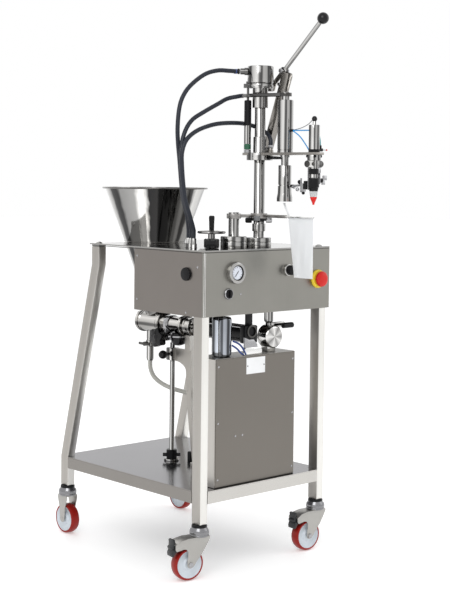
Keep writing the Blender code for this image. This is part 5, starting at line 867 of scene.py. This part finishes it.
# %% Rod and air parts
fit(joined("guide_post",
        turned("guide_bar",
            solid("8 664, 8.5 663.2, 8.5 290, 16 290, 16 271.2, 25 271.2, 26 270, 26 265.3"),
            at(0.24, 0.418, 0.0), UP, 40, 0.0003),
        block("guide_clamp", "224 402 605, 256 434 648", 0.003)), GUIDE_CHROME, "cart", "guide_rod")
fit(joined("rod_collar",
        turned("collar_ring", ring("16.2 302, 17.8 300.5, 17.8 272.5, 16.2 271.2"), at(0.24, 0.418, 0.0),
            UP, 32),
        turned("collar_top", ring("8.6 302, 16.5 302, 16.5 292.5, 8.6 292.5"), at(0.24, 0.418, 0.0), UP,
            32),
        turned("collar_screws", solid("4.5 -30, 6 -29, 6 -16, 3 -15, 3 15, 6 16, 6 29, 4.5 30"),
            at(0.24, 0.418, 0.284), across, 20),
        turned("shelf_foot", solid("7 295, 9 292, 9 265.2"), at(0.286, 0.376, 0.0), UP, 24)), BLACK, "cart")
fit(turned("air_tank", solid("10 789, 22 788.2, 29 785, 31 779, 31 673, 29 667, 24.8 664.3"),
        at(0.136, 0.06, 0.0), UP, 48), TANK_CHROME, "cart", "air_reservoir")
fit(joined("air_filter_unit",
        turned("filter_bowl", solid("28 30, 33 31.2, 36.5 36, 36.5 74, 33 79, 28 80"), at(0.34, 0, 0.713),
            BACK, 56, 0.0005),
        block("filter_foot", "321.8 45.4 664.3, 358.2 74.6 713", 0.002),
        block("filter_arm", "340 51 738, 405 69 756", 0.002)), FILTER_CHROME, "cart", "air_filter")
fit(turned("filter_riser", solid("15 995, 15 762, 10 756, 10 745"), at(0.34, 0.06, 0), UP, 32),
    RISER_CHROME, "cart")
fit(joined("air_valve_bar", turned("air_stub", solid("5.4 32.7, 5.4 50.7"), at(0.396, 0, 0.747), BACK, 24),
        turned("air_bar", solid("6 373, 8.8 375, 9 380, 9 412, 8.8 417, 6 419"), at(0, 0.0291, 0.747),
            RIGHT, 28)), BLACK, "air_valve_handle", "air_handle")

# %% [markdown]
# ## Column, fixed head and limit post
# The filling head hangs on a polished column. The carriage slides on it, the drum and sleeve at
# its top stay still, and a short limit post stands beside it.

# %% Column and head
POLE, PORT = at(0.32, 0.09, 0.0), at(0.32, 0.09, 1.562)
fit(turned("main_column", solid("17.5 1505, 17.5 1075, 21.5 1074.5, 21.5 1050.5, 17.5 1050, 17.5 1030.3, "
            "38.5 1030.3, 40.5 1029, 40.5 1017, 39.5 1016.5, 39.5 1015, 40.5 1014.5, 40.5 1000.3"), POLE,
        UP, 64, 0.0003), POLE_CHROME, "cart", "column")
fit(joined("fixed_head",
        turned("drum", mm("0 1579, 39.5 1579, 42 1576.8, 42 1526.2, 39.5 1523, 34 1523, 34 1508, 25 1508, "
                "25 1446, 17.8 1446, 17.8 1505.3, 0 1505.3"), POLE, UP, 64, 0.0003),
        pressed("strut_ear", places("320 90 1509, 320 100.35 1509, 301.35 127.35 1509, "
                "280.65 127.35 1509, 280.65 106.65 1509"), (0, 0, 0.0137), 0.001),
        turned("strut_rod", solid("4 1530, 4 1414"), at(0.291, 0.117, 0), UP, 24),
        turned("strut_nut", solid("7 1530, 7.2 1522"), at(0.291, 0.117, 0), UP, 6, 0.0006),
        block("link_ear", "345 79 1500.2, 368 94.6 1571.2", 0.0012),
        turned("link_pivot", solid("3 366.7, 3 378.6"), at(0, 0.0868, 1.508), RIGHT, 20),
        turned("drum_port", solid("8.5 65.5, 10 64, 10 52, 12 51.5, 12 42, 10 41.5, 10 34"), PORT, PORT_WAY,
            32)), POLE_CHROME, "cart", "column_head")
fit(turned("port_clip", ring("7.4 67.2, 8.8 67.2, 8.8 74, 7.4 74"), PORT, PORT_WAY, 32, 0.0003), BLACK,
    "cart")
fit(turned("port_band", ring("7.3 76, 7.9 76, 7.9 86, 7.3 86"), PORT, PORT_WAY, 32), DARK_BLUE, "cart")
fit(turned("head_gap", ring("34.2 1526.1, 37.5 1526.1, 37.5 1521.6, 34.2 1521.6"), POLE, UP, 48), BLACK,
    "cart")
BOLT_CIRCLE, FLANGE_FACE = 0.0375, 1.5119
screws = [dome(f"flange_screw_{k}", at(0.32 + BOLT_CIRCLE * math.cos(k * math.tau / 8),
                                       0.09 + BOLT_CIRCLE * math.sin(k * math.tau / 8), FLANGE_FACE),
               -UP, 0.0026, 0.0022) for k in range(8)]
fit(joined("head_flange",
        turned("flange",
            ring("34.2 1521.5, 40.5 1521.5, 41.2 1520.5, 41.2 1512.8, 40.5 1511.8, 34.2 1511.8"), POLE, UP,
            56), *screws), POLE_CHROME, "cart")
fit(turned("stop_post", solid("15.3 1112, 16.8 1110.5, 17 1108.5, 17 1036.3, 40 1036.3, 42 1034.5, "
            "42 1021, 40.8 1020.5, 40.8 1019, 42 1018.5, 42 1000.3"), at(0.212, 0.092, 0), UP, 56, 0.0003),
    POST_CHROME, "cart", "limit_post")

# %% [markdown]
# ## The sliding carriage
# One bush, disc and arm in a single casting with the slanted lever post welded on. The balance
# strut's tube stands on the arm, and the filling and capping cylinders go through it.

# %% Carriage
arm = pressed("carriage_arm", [at(x, y, 1.294) for x, y in (
    (0.2795, 0.1285), (0.2795, 0.1055), (0.294, 0.0564), (0.294, -0.0544), (0.2984, -0.117), (0.2984,
            -0.1731),
    (0.3416, -0.1731), (0.3416, -0.117), (0.346, -0.0544), (0.3864, 0.0564), (0.3864, 0.1285))], (0, 0,
            0.008), 0.0012)
post_way, post_side, POST_RUN = Vector((0, -0.34235, 0.93955)), Vector((0, -0.93955, -0.34235)), 0.26289


def post_at(run, side, x=0.360):
    return at(x, 0.112, 1.302) + post_way * run + post_side * side


post = pressed("lever_post",
    [at(0.36, 0.126, 1.301), post_at(POST_RUN, -0.014), post_at(POST_RUN + 0.0098, -0.0098),
        post_at(POST_RUN + 0.0098, 0.0098), post_at(POST_RUN, 0.014), at(0.36, 0.098, 1.301)],
    (0.024, 0, 0), 0.0015)
slot = pressed("slot",
    [post_at(0.2125, -0.028, 0.364), post_at(0.2909, -0.028, 0.364), post_at(0.2909, 0.028, 0.364),
        post_at(0.2125, 0.028, 0.364)], (0.016, 0, 0), 0.0)
cut(post, slot)
fit(turned("carriage_bush",
        ring("18.1 1353, 20.5 1353, 21.5 1351.5, 21.5 1303, 42 1301, 42 1279, 40.8 1278, 18.1 1278"), POLE,
        UP, 56, 0.0003), POLE_CHROME, "carriage_unit")
fit(joined("carriage_casting", arm, post,
        turned("air_elbow", solid("6.5 1317, 7 1316, 7 1311, 9 1310.5, 9 1302"), at(0.344, 0.0642, 0), UP,
            28)), CARRIAGE_STEEL, "carriage_unit", "carriage")
fit(joined("lock_lever", turned("lock_stem", solid("5 27.7, 5 47.7"), at(0.32, 0, 1.286), BACK, 24),
        turned("lock_grip", solid("3 315, 5 316.5, 5 340, 4.2 356, 4.8 363.5, 2.5 365"),
            at(0, 0.0327, 1.286), RIGHT, 24)), BLACK, "lock", "lock_handle")
STRUT = at(0.291, 0.117, 0)
fit(turned("strut_sleeve", ring("4.6 1470, 9.8 1470, 11.5 1468, 11.5 1389, 4.6 1389"), STRUT, UP, 40),
    BLACK, "carriage_unit", "strut_tube")
fit(turned("strut_barrel", ring("4.6 1388.9, 11.2 1388.9, 11.2 1330.1, 4.6 1330.1"), STRUT, UP, 40),
    STRUT_CHROME, "carriage_unit")
fit(turned("strut_lens", ring("4.6 1330, 11.5 1329.5, 11.5 1313, 4.6 1312.5"), STRUT, UP, 40), GREEN,
    "carriage_unit")
fit(turned("strut_foot", ring("4.6 1312.4, 11.5 1312, 11.5 1302.3, 4.6 1302.3"), STRUT, UP, 40), ZINC,
    "carriage_unit")

# %% [markdown]
# ## Filling cylinder
# A polished air cylinder whose nozzle ends in a bell. The bell is open, and the pouch's spout
# goes into it. A bent pipe brings the product from the hose.

# %% Filler
FILLER = at(0.32, -0.025, 0.0)
bell = mm("0 1492, 10.5 1492, 12 1490.5, 12 1467, 22 1467, 24.5 1464.8, 24.5 1312, 23.5 1311, 23.5 1309, "
    "24.5 1308, 24.5 1302.3, 12 1302.3, 12 1296, 14.8 1295.5, 14.8 1287, 12 1286.5, 12 1262, 19.5 1262, "
    "20.5 1260.5, 20.5 1201, 18.5 1200.5, 18.5 1197.2, 21.3 1196.8, 21.5 1180, 22.2 1172, 24.5 1160, "
    "24.5 1148, 21.6 1148, 21.6 1159, 18.5 1174, 17.4 1192.8, 0 1192.8")
feed_bend = walk(places("276 122 1484, 278.5 102 1484, 284 70 1484, 300 22.5 1484, 314 -13 1484, "
        "320 -23 1484"), 0.006)
fit(joined("fill_head", turned("fill_barrel", bell, FILLER, UP, 64), tube("feed_bend", feed_bend, 0.0062)),
    FILLER_CHROME, "carriage_unit", "fill_cylinder")
fit(turned("filler_neck_nut", ring("12.1 1295.5, 15.2 1295.5, 15.2 1287, 12.1 1287"), FILLER, UP, 6,
        0.0008), BLACK, "carriage_unit")
fit(turned("filler_top_ring", ring("12.1 1490, 18.5 1489.5, 19 1488, 19 1480, 18.5 1478.5, 12.1 1478"),
        FILLER, UP, 40), DARK_STEEL, "carriage_unit")

# %% [markdown]
# ## Capping cylinder, chuck and toggle clamps
# The slim cylinder at the front spins a cap on. Its chuck ends in a clear guide with a red tip,
# and a cluster of small toggle clamps beside it holds the pouch's spout still.

# %% Capper
CAPPER = at(0.32, -0.151, 0.0)
fit(joined("cap_driver",
        turned("cap_barrel", solid("5.1 1397.5, 5.1 1386, 16 1386, 17 1384.8, 17 1302.3, 12.5 1302.3, "
                "12.5 1293.7, 21.2 1293.7, 21.2 1277, 12.5 1277, 12.5 1223"), CAPPER, UP, 48, 0.0003),
        block("clamp_bar", "291.5 -161 1255, 348.5 -141 1276.7", 0.003)), CAPPER_CHROME, "carriage_unit",
    "capper_cylinder")
fit(turned("cap_ball", solid("3 1413.2, 6 1411, 8 1407.5, 8.5 1404.7, 8 1401, 6 1398.5, 3 1396.2"), CAPPER,
        UP, 32), GLOSS_BLACK, "carriage_unit")
fit(turned("chuck_body", mm("0 1222.7, 16 1222.7, 17 1221.5, 17 1194.5, 15 1193.5, 13 1182, 0 1182"),
        CAPPER, UP, 40, 0.0003), BLACK, "chuck", "cap_chuck")
fit(turned("clear_guide", solid("12.5 1181.9, 12 1174, 10 1164.5"), CAPPER, UP, 36), CLEAR_GREY, "chuck")
fit(turned("red_tip", solid("10.5 1164.4, 11 1162, 8.5 1156, 4 1146, 3 1140.1"), CAPPER, UP, 36), RED,
    "chuck")

# %% [markdown]
# ## Air fittings and small clamps
# Thin nylon tubes bring air from the filling cylinder to the capping cylinder, and small clamps
# beside the chuck hold a spout. They are short rods, blocks and balls on two little brackets.

# %% Small fittings
def rod(name, start, stop, radius, steps=20, soften=0.0):
    length = (stop - start).length
    return turned(name, [(0.0, 0.0), (radius, 0.0), (radius, length), (0.0, length)], start, stop - start,
            steps, soften)


def ball(name, centre, radius):
    return turned(name, beads(radius, 0.0, 10), centre, UP, 20)


def spot(y, z, x=0.32):
    return at(x, y, z)


fit(joined("clamp_brackets", block("left_tie", "313 -142.5 1256, 327 -129.5 1266"),
        block("left_plate", "314 -133.5 1186, 326 -129.5 1262"),
        block("right_tie", "330 -157 1238, 345 -145 1255.5"),
        block("right_plate", "340.5 -157 1204, 344.5 -145 1250"),
        rod("left_rod", spot(-0.131, 1.203), spot(-0.058, 1.197), 0.0034),
        rod("right_rod", spot(-0.151, 1.215, 0.343), spot(-0.151, 1.215, 0.366), 0.0034),
        rod("left_screw", spot(-0.097, 1.178), spot(-0.097, 1.222), 0.003),
        block("left_jaw", "313 -112 1180, 327 -101 1206"),
        ball("left_ball", spot(-0.082, 1.187), 0.0062),
        rod("left_nut", spot(-0.069, 1.196), spot(-0.062, 1.195), 0.0068, 6, 0.0005)), ZINC,
    "carriage_unit")
fit(joined("clamp_knobs", block("left_grip", "311 -128.5 1187, 329 -114.5 1214", 0.003),
        ball("left_knob", spot(-0.091, 1.21), 0.007),
        ball("left_low_knob", spot(-0.107, 1.176), 0.0052),
        rod("left_cap", spot(-0.06, 1.197), spot(-0.0535, 1.197), 0.005),
        rod("right_cap", spot(-0.151, 1.215, 0.347), spot(-0.151, 1.215, 0.356), 0.0075, 6, 0.0006)), BLACK,
    "carriage_unit")
fit(joined("wing_screw", block("upper_wing", "360 -153 1216, 378 -149 1231", 0.0016),
        block("lower_wing", "356 -153 1202, 370 -149 1214", 0.0016)), ZINC, "carriage_unit")
fit(joined("clamp_bar_bosses",
        rod("boss_left", at(0.2865, -0.151, 1.266), at(0.2925, -0.151, 1.266), 0.0095, 28, 0.0008),
        rod("boss_right", at(0.348, -0.151, 1.266), at(0.354, -0.151, 1.266), 0.0095, 28, 0.0008),
        rod("boss_front", at(0.306, -0.1635, 1.266), at(0.306, -0.16, 1.266), 0.006, 20, 0.0005)),
    DARK_STEEL, "carriage_unit")
fit(joined("capper_bands",
        turned("upper_band", ring("17.1 1311, 17.8 1311, 17.8 1302.5, 17.1 1302.5"), CAPPER, UP, 40),
        turned("lower_band", ring("12.6 1251, 15 1251, 15 1234, 12.6 1234"), CAPPER, UP, 40),
        block("under_arm", "303 -170 1285.5, 337 -132 1293.8", 0.002),
        rod("elbow_black", at(0.3365, -0.151, 1.31), at(0.3555, -0.151, 1.31), 0.0052),
        rod("elbow_top", at(0.3465, -0.151, 1.308), at(0.3465, -0.151, 1.324), 0.0048),
        rod("filler_fitting", spot(-0.049, 1.371), spot(-0.06, 1.371), 0.0042)), BLACK, "carriage_unit")
fit(joined("blue_air_tubes", rod("upper_tube", spot(-0.059, 1.371), spot(-0.1345, 1.37), 0.002, 14),
        tube("lower_tube",
            walk([spot(-0.059, 1.37), spot(-0.09, 1.351), spot(-0.12, 1.32), spot(-0.1345, 1.3)], 0.006),
            0.002, 3)), BLUE, "carriage_unit")
fit(tube("teal_air_tube",
        walk(places("336.5 -151 1366, 340 -151 1356, 345 -151 1340, 346.5 -151 1322"), 0.004), 0.0026, 3),
    TEAL, "carriage_unit")
fit(tube("thin_grey_tube",
        walk([spot(-0.059, 1.372), spot(-0.095, 1.378), spot(-0.125, 1.389), spot(-0.143, 1.402)], 0.006),
        0.0012, 3), GREY, "carriage_unit")
fit(rod("sensor_stem", at(0.355, -0.151, 1.31), at(0.374, -0.151, 1.31), 0.0014), CLEAR_GREY,
    "carriage_unit")
fit(rod("sensor_lens", at(0.3740, -0.151, 1.310), at(0.3770, -0.151, 1.310), 0.0026), RED, "carriage_unit")
fit(joined("air_elbow_nut",
        turned("elbow_nut", ring("7.2 1318, 10 1318, 10 1327, 7.2 1327"), at(0.344, 0.0642, 0), UP, 6,
            0.0006),
        block("air_tee", "334 72 1302.2, 354 92 1320", 0.002)), ZINC, "carriage_unit")

# %% [markdown]
# ## Lever, link and hub
# Pulling the lever lowers the carriage: its short end holds on to the fixed head by a link.

# %% Lever
HUB, KNOB, EYE = at(0.372, 0.036, 1.565), at(0.372, -0.132, 1.719), at(0.372, 0.080, 1.527)
lever_way = (KNOB - HUB).normalized()
eye_way = (EYE - HUB).normalized()
eye_side = RIGHT.cross(eye_way)
short_arm = pressed("short_arm",
    [HUB + Vector((-0.002, 0, 0)) + eye_side * 0.0085, HUB + Vector((-0.002, 0, 0)) - eye_side * 0.0085,
        EYE + Vector((-0.002, 0, 0)) - eye_side * 0.008,
        EYE + Vector((-0.002, 0, 0)) - eye_side * 0.005 + eye_way * 0.0075,
        EYE + Vector((-0.002, 0, 0)) + eye_side * 0.005 + eye_way * 0.0075,
        EYE + Vector((-0.002, 0, 0)) + eye_side * 0.008], (0.004, 0, 0), 0.0006)
# The lever bar's polish is painted in as reflection streaks.
fit(joined("hand_lever",
        turned("lever_hub", solid("11.2 364.7, 12 365.5, 12 378.5, 11.2 379.3"), at(0, 0.036, 1.565), RIGHT,
            40),
        turned("lever_pin", solid("3 358.1, 3 386"), at(0, 0.036, 1.565), RIGHT, 20),
        turned("lever_bar", solid("7.1 0, 7.1 100, 7.1 212"), HUB, lever_way, 32)),
    painted_reflection_steel("polished_lever_painted_reflection", HUB, lever_way, LEVER_PAINTED_REFLECTIONS), "lever_arm", "lever")
fit(short_arm, CARRIAGE_STEEL, "lever_arm")
fit(joined("hub_bolt",
        rod("bolt_head", at(0.354, 0.036, 1.565), at(0.3598, 0.036, 1.565), 0.008, 6, 0.0008),
        rod("bolt_nut", at(0.3842, 0.036, 1.565), at(0.3895, 0.036, 1.565), 0.008, 6, 0.0008),
        rod("post_screw", at(0.357, 0.046, 1.522), at(0.3598, 0.046, 1.522), 0.0055, 20, 0.0006)), ZINC,
    "carriage_unit")
BALL_RUN = (KNOB - HUB).length
fit(turned("lever_ball", beads(0.0185, BALL_RUN, 14), HUB, lever_way, 40), GLOSS_BLACK, "lever_arm")

# %% [markdown]
# ## Pouch holder, dose wheel and pouch
# Two thin rails hang the pouch by its header. The dose wheel sets the piston's stroke, and a
# lobed nut locks it.

# %% Holder
fit(joined("holder_frame",
        turned("holder_ring", ring("18.1 1108, 26.5 1108, 27 1107.5, 27 1092.5, 26.5 1092, 18.1 1092"),
            POLE, UP, 48, 0.0004),
        turned("post_ring", ring("17.6 1107.7, 23 1107.7, 23 1092.3, 17.6 1092.3"), at(0.212, 0.092, 0), UP,
            48, 0.0006),
        block("ring_bar", "232.5 87 1095, 297 97 1105", 0.001),
        block("holder_arm", "315 -35 1095, 325 67.5 1105", 0.001)), STEEL_Y, "holder", "pouch_holder")
fit(joined("holder_rails", block("left_rail", "314.5 -152 1097.8, 316.7 -34 1102.2", 0.0005),
        block("right_rail", "323.3 -152 1097.8, 325.5 -34 1102.2", 0.0005)), BRIGHT, "holder")
fit(pressed("filling_straw", [at(0.3194, *p) for p in mm("-19 1143, -28 1143, -50 1103, -41.5 1103")],
        (0.0012, 0, 0), 0.0004), LABEL, "holder")
fit(joined("holder_collar",
        turned("black_collar", ring("18.1 1091.8, 25.5 1091.8, 25.5 1083.7, 18.1 1083.7"), POLE, UP, 40),
        turned("left_screw_knob", solid("6 22.5, 8.5 23.5, 9.2 33, 8.2 42, 5.5 44"), at(0.32, 0.09, 1.0855),
            -across, 24)), BLACK, "holder")
fit(turned("right_screw_knob", solid("6 22.5, 8.5 23.5, 8.8 33, 8 41, 5 43"), at(0.32, 0.09, 1.0855),
        across, 8, 0.0006), ZINC, "holder")
fit(turned("holder_screw", solid("8 1099.5, 10 1098.5, 10 1085, 8 1084"), at(0.2957, 0.0738, 0), UP, 32,
        0.0004), GREY, "holder")
WHEEL, SPOKE, SPOKE_HEIGHT = at(0.125, 0.100, 0.0), 0.040, 1.050
rim = turned("wheel_rim", wire(0.0405, 0.0040, SPOKE_HEIGHT, 12), WHEEL, UP, 64)
hub_middle = WHEEL + UP * SPOKE_HEIGHT
spoke_turns = [math.radians(30 + 120 * k) for k in range(3)]
spokes = [tube(f"spoke_{k}", [hub_middle, hub_middle + Vector((math.cos(turn), math.sin(turn),
        0)) * SPOKE], 0.0036, 4)
          for k, turn in enumerate(spoke_turns)]
fit(joined("dose_handwheel", rim,
        turned("wheel_hub", solid("10 1054.5, 11 1053.5, 11 1030.6, 6 1030.6, 6 1000.6"), WHEEL, UP, 40),
        *spokes), WHEEL_CHROME, "dose_wheel", "handwheel")
fit(turned("wheel_grip", solid("6 1102, 8.5 1100.5, 9 1096, 8.4 1079, 7.8 1058, 7.4 1054.6"), WHEEL, UP,
        32), BLACK, "dose_wheel")
fit(joined("locking_nut", lobed("nut_body", at(0.125, 0.1, 1.0003), UP, 0.025, 0.2, 5, 0.0297, 0.004)),
    GLOSS_BLACK, "dose_lock_nut", "lock_nut")

# %% [markdown]
# ## The pouch
# An empty stand-up pouch: two layers of white film sealed at the edges, so it is flat at the
# seals and swells a few millimetres in the middle. A fine grid is bent to that shape by moving
# its points, because film this stiff hangs without folds.

# %% Pouch


def pouch():
    corners = {"top_front": (-0.0416, 1.1020), "top_back": (-0.1515, 1.1020), "low_front": (-0.0720,
            0.9105), "low_back": (-0.1515, 0.9105)}
    deselect()
    bpy.ops.mesh.primitive_grid_add(x_subdivisions=24, y_subdivisions=44, size=1)
    piece = bpy.context.object
    piece.name = piece.data.name = "film_pouch"
    mesh = bmesh.new()
    mesh.from_mesh(piece.data)
    back = bmesh.ops.duplicate(mesh, geom=mesh.verts[:] + mesh.edges[:] + mesh.faces[:])
    copies = {v for v in back["geom"] if isinstance(v, bmesh.types.BMVert)}
    for v in mesh.verts:
        u, w = v.co.x + 0.5, v.co.y + 0.5
        left = Vector(corners["low_front"]).lerp(Vector(corners["top_front"]), w)
        right = Vector(corners["low_back"]).lerp(Vector(corners["top_back"]), w)
        spot = left.lerp(right, u)
        swell = (math.sin(math.pi * u) * math.sin(math.pi * min(1.0,
                w * 1.12))) ** 0.6 if 0 < u < 1 and 0 < w < 0.89 else 0.0
        crease = 0.25 * math.sin(9 * u + 5 * w) + 0.2 * math.sin(17 * u - 7 * w)
        thick = 0.0003 + 0.0025 * swell * (1 + crease)
        v.co = at(0.32 + (thick if v in copies else -thick), spot.x, spot.y)
    rim_edges = [e for e in mesh.edges if e.is_boundary]
    bmesh.ops.bridge_loops(mesh, edges=rim_edges)
    bmesh.ops.recalc_face_normals(mesh, faces=mesh.faces)
    mesh.to_mesh(piece.data)
    mesh.free()
    return smooth(piece)


film_pouch = fit(pouch(), FILM, "holder", "pouch")

# %% [markdown]
# ## Casters
# A swivel caster has a race under the leg, a fork, and a wheel with a red polyurethane tread on
# a pale nylon hub. One function draws a wheel, and it runs once for each corner.

# %% Wheels
RACE_STEEL = mirror_steel("caster_race", (0.24, 0.24, 0.25), 0.22)


def wheel_parts(label, centre, axle, body, node):
    fit(turned(label + "_tread",
            ring("42 15, 44.5 16, 47.5 15, 49.4 10, 50 4, 50 -4, 49.4 -10, 47.5 -15, 44.5 -16, 42 -15"),
            centre, axle, 72), TREAD, body, node)
    fit(turned(label + "_hub", ring("5.8 14.4, 15 14.4, 17.5 12, 20.5 8.5, 35 8.5, 39 11, 42.1 15.2, "
                "42.1 -15.2, 39 -11, 35 -8.5, 20.5 -8.5, 17.5 -12, 15 -14.4, 5.8 -14.4"), centre, axle, 64),
        NYLON, body)


def beside(x, y, way, run, z):
    turn = math.atan2(way[1], way[0])
    return at(x + math.cos(turn) * run, y + math.sin(turn) * run, z), Vector((-math.sin(turn),
            math.cos(turn), 0))


RACE = solid("18 164.3, 22.5 160, 23.5 156, 29 150, 30.6 144, 30.6 139, 29.8 137.5, 29.8 136, 30.6 134.5, "
    "29 130")
SEAL = ring("15 164.6, 22.8 164.6, 24.2 161, 24.2 157, 15 157")
FORK_SIDE = mm("-26 131.2, -25 124, -16.2 108, -1.5 85, 18 62, 29 47, 35 41.5, 42 39.5, 49 41.5, 53.5 48, "
    "53.5 62, 51.5 78, 51 89, 56 98.5, 66 100.5, 90.5 96, 95 102, 95 116, 77 126.5, 50 131.2")
FORK_TOP = mm("-26 131.2, 50 131.2, 77 126.5, 95 116, 93.5 113.5, 75.5 123.6, 49 128, -26 128")
REAR_SIDE = mm("-25 131.2, -24.5 118, -16 90, -12.5 60, -12 48, -8 40.5, 0 38, 8 40.5, 12 48, 12.5 60, "
    "16 90, 24.5 118, 25 131.2")


def sheet_between(name, outline, stem, out, axle, near, far, soften=0.0008):
    """A fork plate: an outline in the plane of the wheel, pulled from one side to the other."""
    return pressed(name, [stem + out * run + UP * z + axle * near for run, z in outline],
            axle * (far - near), soften)


for label, x, way in (("left", 0.015, (-0.983, 0.180)), ("right", 0.527, (-0.997, 0.080))):
    centre, axle = beside(x, 0.020, way, 0.042, 0.050)
    out = Vector((axle.y, -axle.x, 0))
    stem = at(x, 0.020, 0)
    wheel_parts(f"front_{label}", centre, axle, f"front_{label}_roller", f"front_{label}_wheel")
    fit(joined(f"{label}_fork", sheet_between("near_cheek", FORK_SIDE, stem, out, axle, 0.02, 0.023),
            sheet_between("far_cheek", FORK_SIDE, stem, out, axle, -0.023, -0.02),
            sheet_between("fork_top", FORK_TOP, stem, out, axle, -0.0215, 0.0215),
            turned("axle_bolt", solid("5 -23.5, 5 23.5"), centre, axle, 20)), CAST, f"{label}_swivel",
        f"{label}_caster_fork")
    fit(turned(f"{label}_race", RACE, stem, UP, 48), RACE_STEEL, f"{label}_swivel")
    fit(turned(f"{label}_seal", SEAL, stem, UP, 40), BLACK, f"{label}_swivel")
    fit(joined(f"{label}_pedal",
            sheet_between("pedal_bar",
                mm("64 101, 64 109, 88 114, 93 132, 101 131, 99 113, 105 109, 104 102, 86 102"), stem, out,
                axle, -0.014, 0.014, 0.002),
            sheet_between("pedal_pad", mm("82 102.5, 99 102.5, 104 90, 102.5 80, 99 79, 93 88, 86 95"),
                stem, out, axle, -0.0165, 0.0165, 0.002)), GREY_BLACK, f"{label}_brake",
        f"{label}_brake_pedal")
    for number, side in enumerate((1, -1)):
        fit(turned(f"{label}_axle_nut_{number}", solid("6 27.2, 8.5 26.2, 8.8 23.1"), centre, axle * side,
                6, 0.0006), ZINC, f"{label}_swivel")
for label, x in (("left", 0.015), ("right", 0.527)):
    stem = at(x, 0.702, 0)
    wheel_parts(f"rear_{label}", at(x, 0.702, 0.050), RIGHT, f"rear_{label}_roller", f"rear_{label}_wheel")
    fit(joined(f"rear_{label}_fork",
            sheet_between("left_cheek", REAR_SIDE, stem, BACK, RIGHT, -0.023, -0.02),
            sheet_between("right_cheek", REAR_SIDE, stem, BACK, RIGHT, 0.02, 0.023),
            sheet_between("rear_top", mm("-25 131.2, 25 131.2, 25 128, -25 128"), stem, BACK, RIGHT,
                -0.0215, 0.0215),
            turned("rear_axle", solid("5 -23.5, 5 23.5"), at(x, 0.702, 0.05), RIGHT, 20)), CAST, "cart",
        f"rear_{label}_caster_fork")
    fit(turned(f"rear_{label}_race", RACE, stem, UP, 48), RACE_STEEL, "cart")
    fit(turned(f"rear_{label}_seal", SEAL, stem, UP, 40), BLACK, "cart")

# %% [markdown]
# ## Floor and light
# A white floor runs back into a white room, and the machine stands on its own soft shadow. The
# room is plain, so the light and dark streaks of the polished rounds are reflections painted into their
# colour.

# %% Floor
deselect()
bpy.ops.mesh.primitive_plane_add(size=60, location=(0, 0, -0.0005))
floor = bpy.context.object
floor.name = "floor"
floor_finish = Finish("pale_floor", (0.93, 0.93, 0.93), 0.6, Emission_Color=(1, 1, 1, 1),
    Emission_Strength=0.3)
floor_cloud = floor_finish.noise(3.0, 2.0)
floor_finish.feed(floor_finish.shader.inputs["Base Color"],
    floor_finish.blend(floor_cloud, (0.92, 0.92, 0.92), (0.95, 0.95, 0.95)))
coat(floor, floor_finish.material)

# %% World
world = bpy.data.worlds.new("studio")
bpy.context.scene.world = world
world.use_nodes = True
room = world.node_tree
room.nodes.clear()


def room_node(kind, settings=None, *values, out=0):
    made = room.nodes.new(kind)
    for key, value in (settings or {}).items():
        setattr(made, key, value)
    for socket, value in zip(made.inputs, values):
        if isinstance(value, bpy.types.NodeSocket):
            room.links.new(value, socket)
        else:
            socket.default_value = value
    return made.outputs[out]


path = room.nodes.new("ShaderNodeLightPath")
shiny = room_node("ShaderNodeMath", {"operation": "MAXIMUM"}, path.outputs["Is Glossy Ray"],
    path.outputs["Is Transmission Ray"])
seen = room_node("ShaderNodeMath", {"operation": "MAXIMUM"}, path.outputs["Is Camera Ray"], shiny)
backdrop = room.nodes.new("ShaderNodeMix")
backdrop.data_type = "RGBA"
room.links.new(seen, backdrop.inputs[0])
backdrop.inputs[6].default_value = (0.80, 0.80, 0.80, 1)
backdrop.inputs[7].default_value = (1, 1, 1, 1)
glow = room.nodes.new("ShaderNodeBackground")
room.links.new(backdrop.outputs[2], glow.inputs[0])
end = room.nodes.new("ShaderNodeOutputWorld")
room.links.new(glow.outputs[0], end.inputs[0])

# %% Lamps
for name, place, size, power in (("window", (-2.2, -1.6, 2.8), 1.8, 34), ("fill", (2.6, -1.8, 2.2), 2.2,
        12),
                                 ("back", (0.5, 2.8, 2.6), 2.0, 14)):
    deselect()
    bpy.ops.object.light_add(type="AREA", location=place)
    lamp = bpy.context.object
    lamp.name = name
    lamp.data.size, lamp.data.energy = size, power
    lamp.rotation_mode = "QUATERNION"
    lamp.rotation_quaternion = (Vector((0, 0, 0.9)) - Vector(place)).to_track_quat("-Z", "Y")
bpy.context.scene.view_settings.view_transform = "Standard"

# %% [markdown]
# ## The last step
# Last, nothing is left selected.

# %% Nothing selected
deselect()
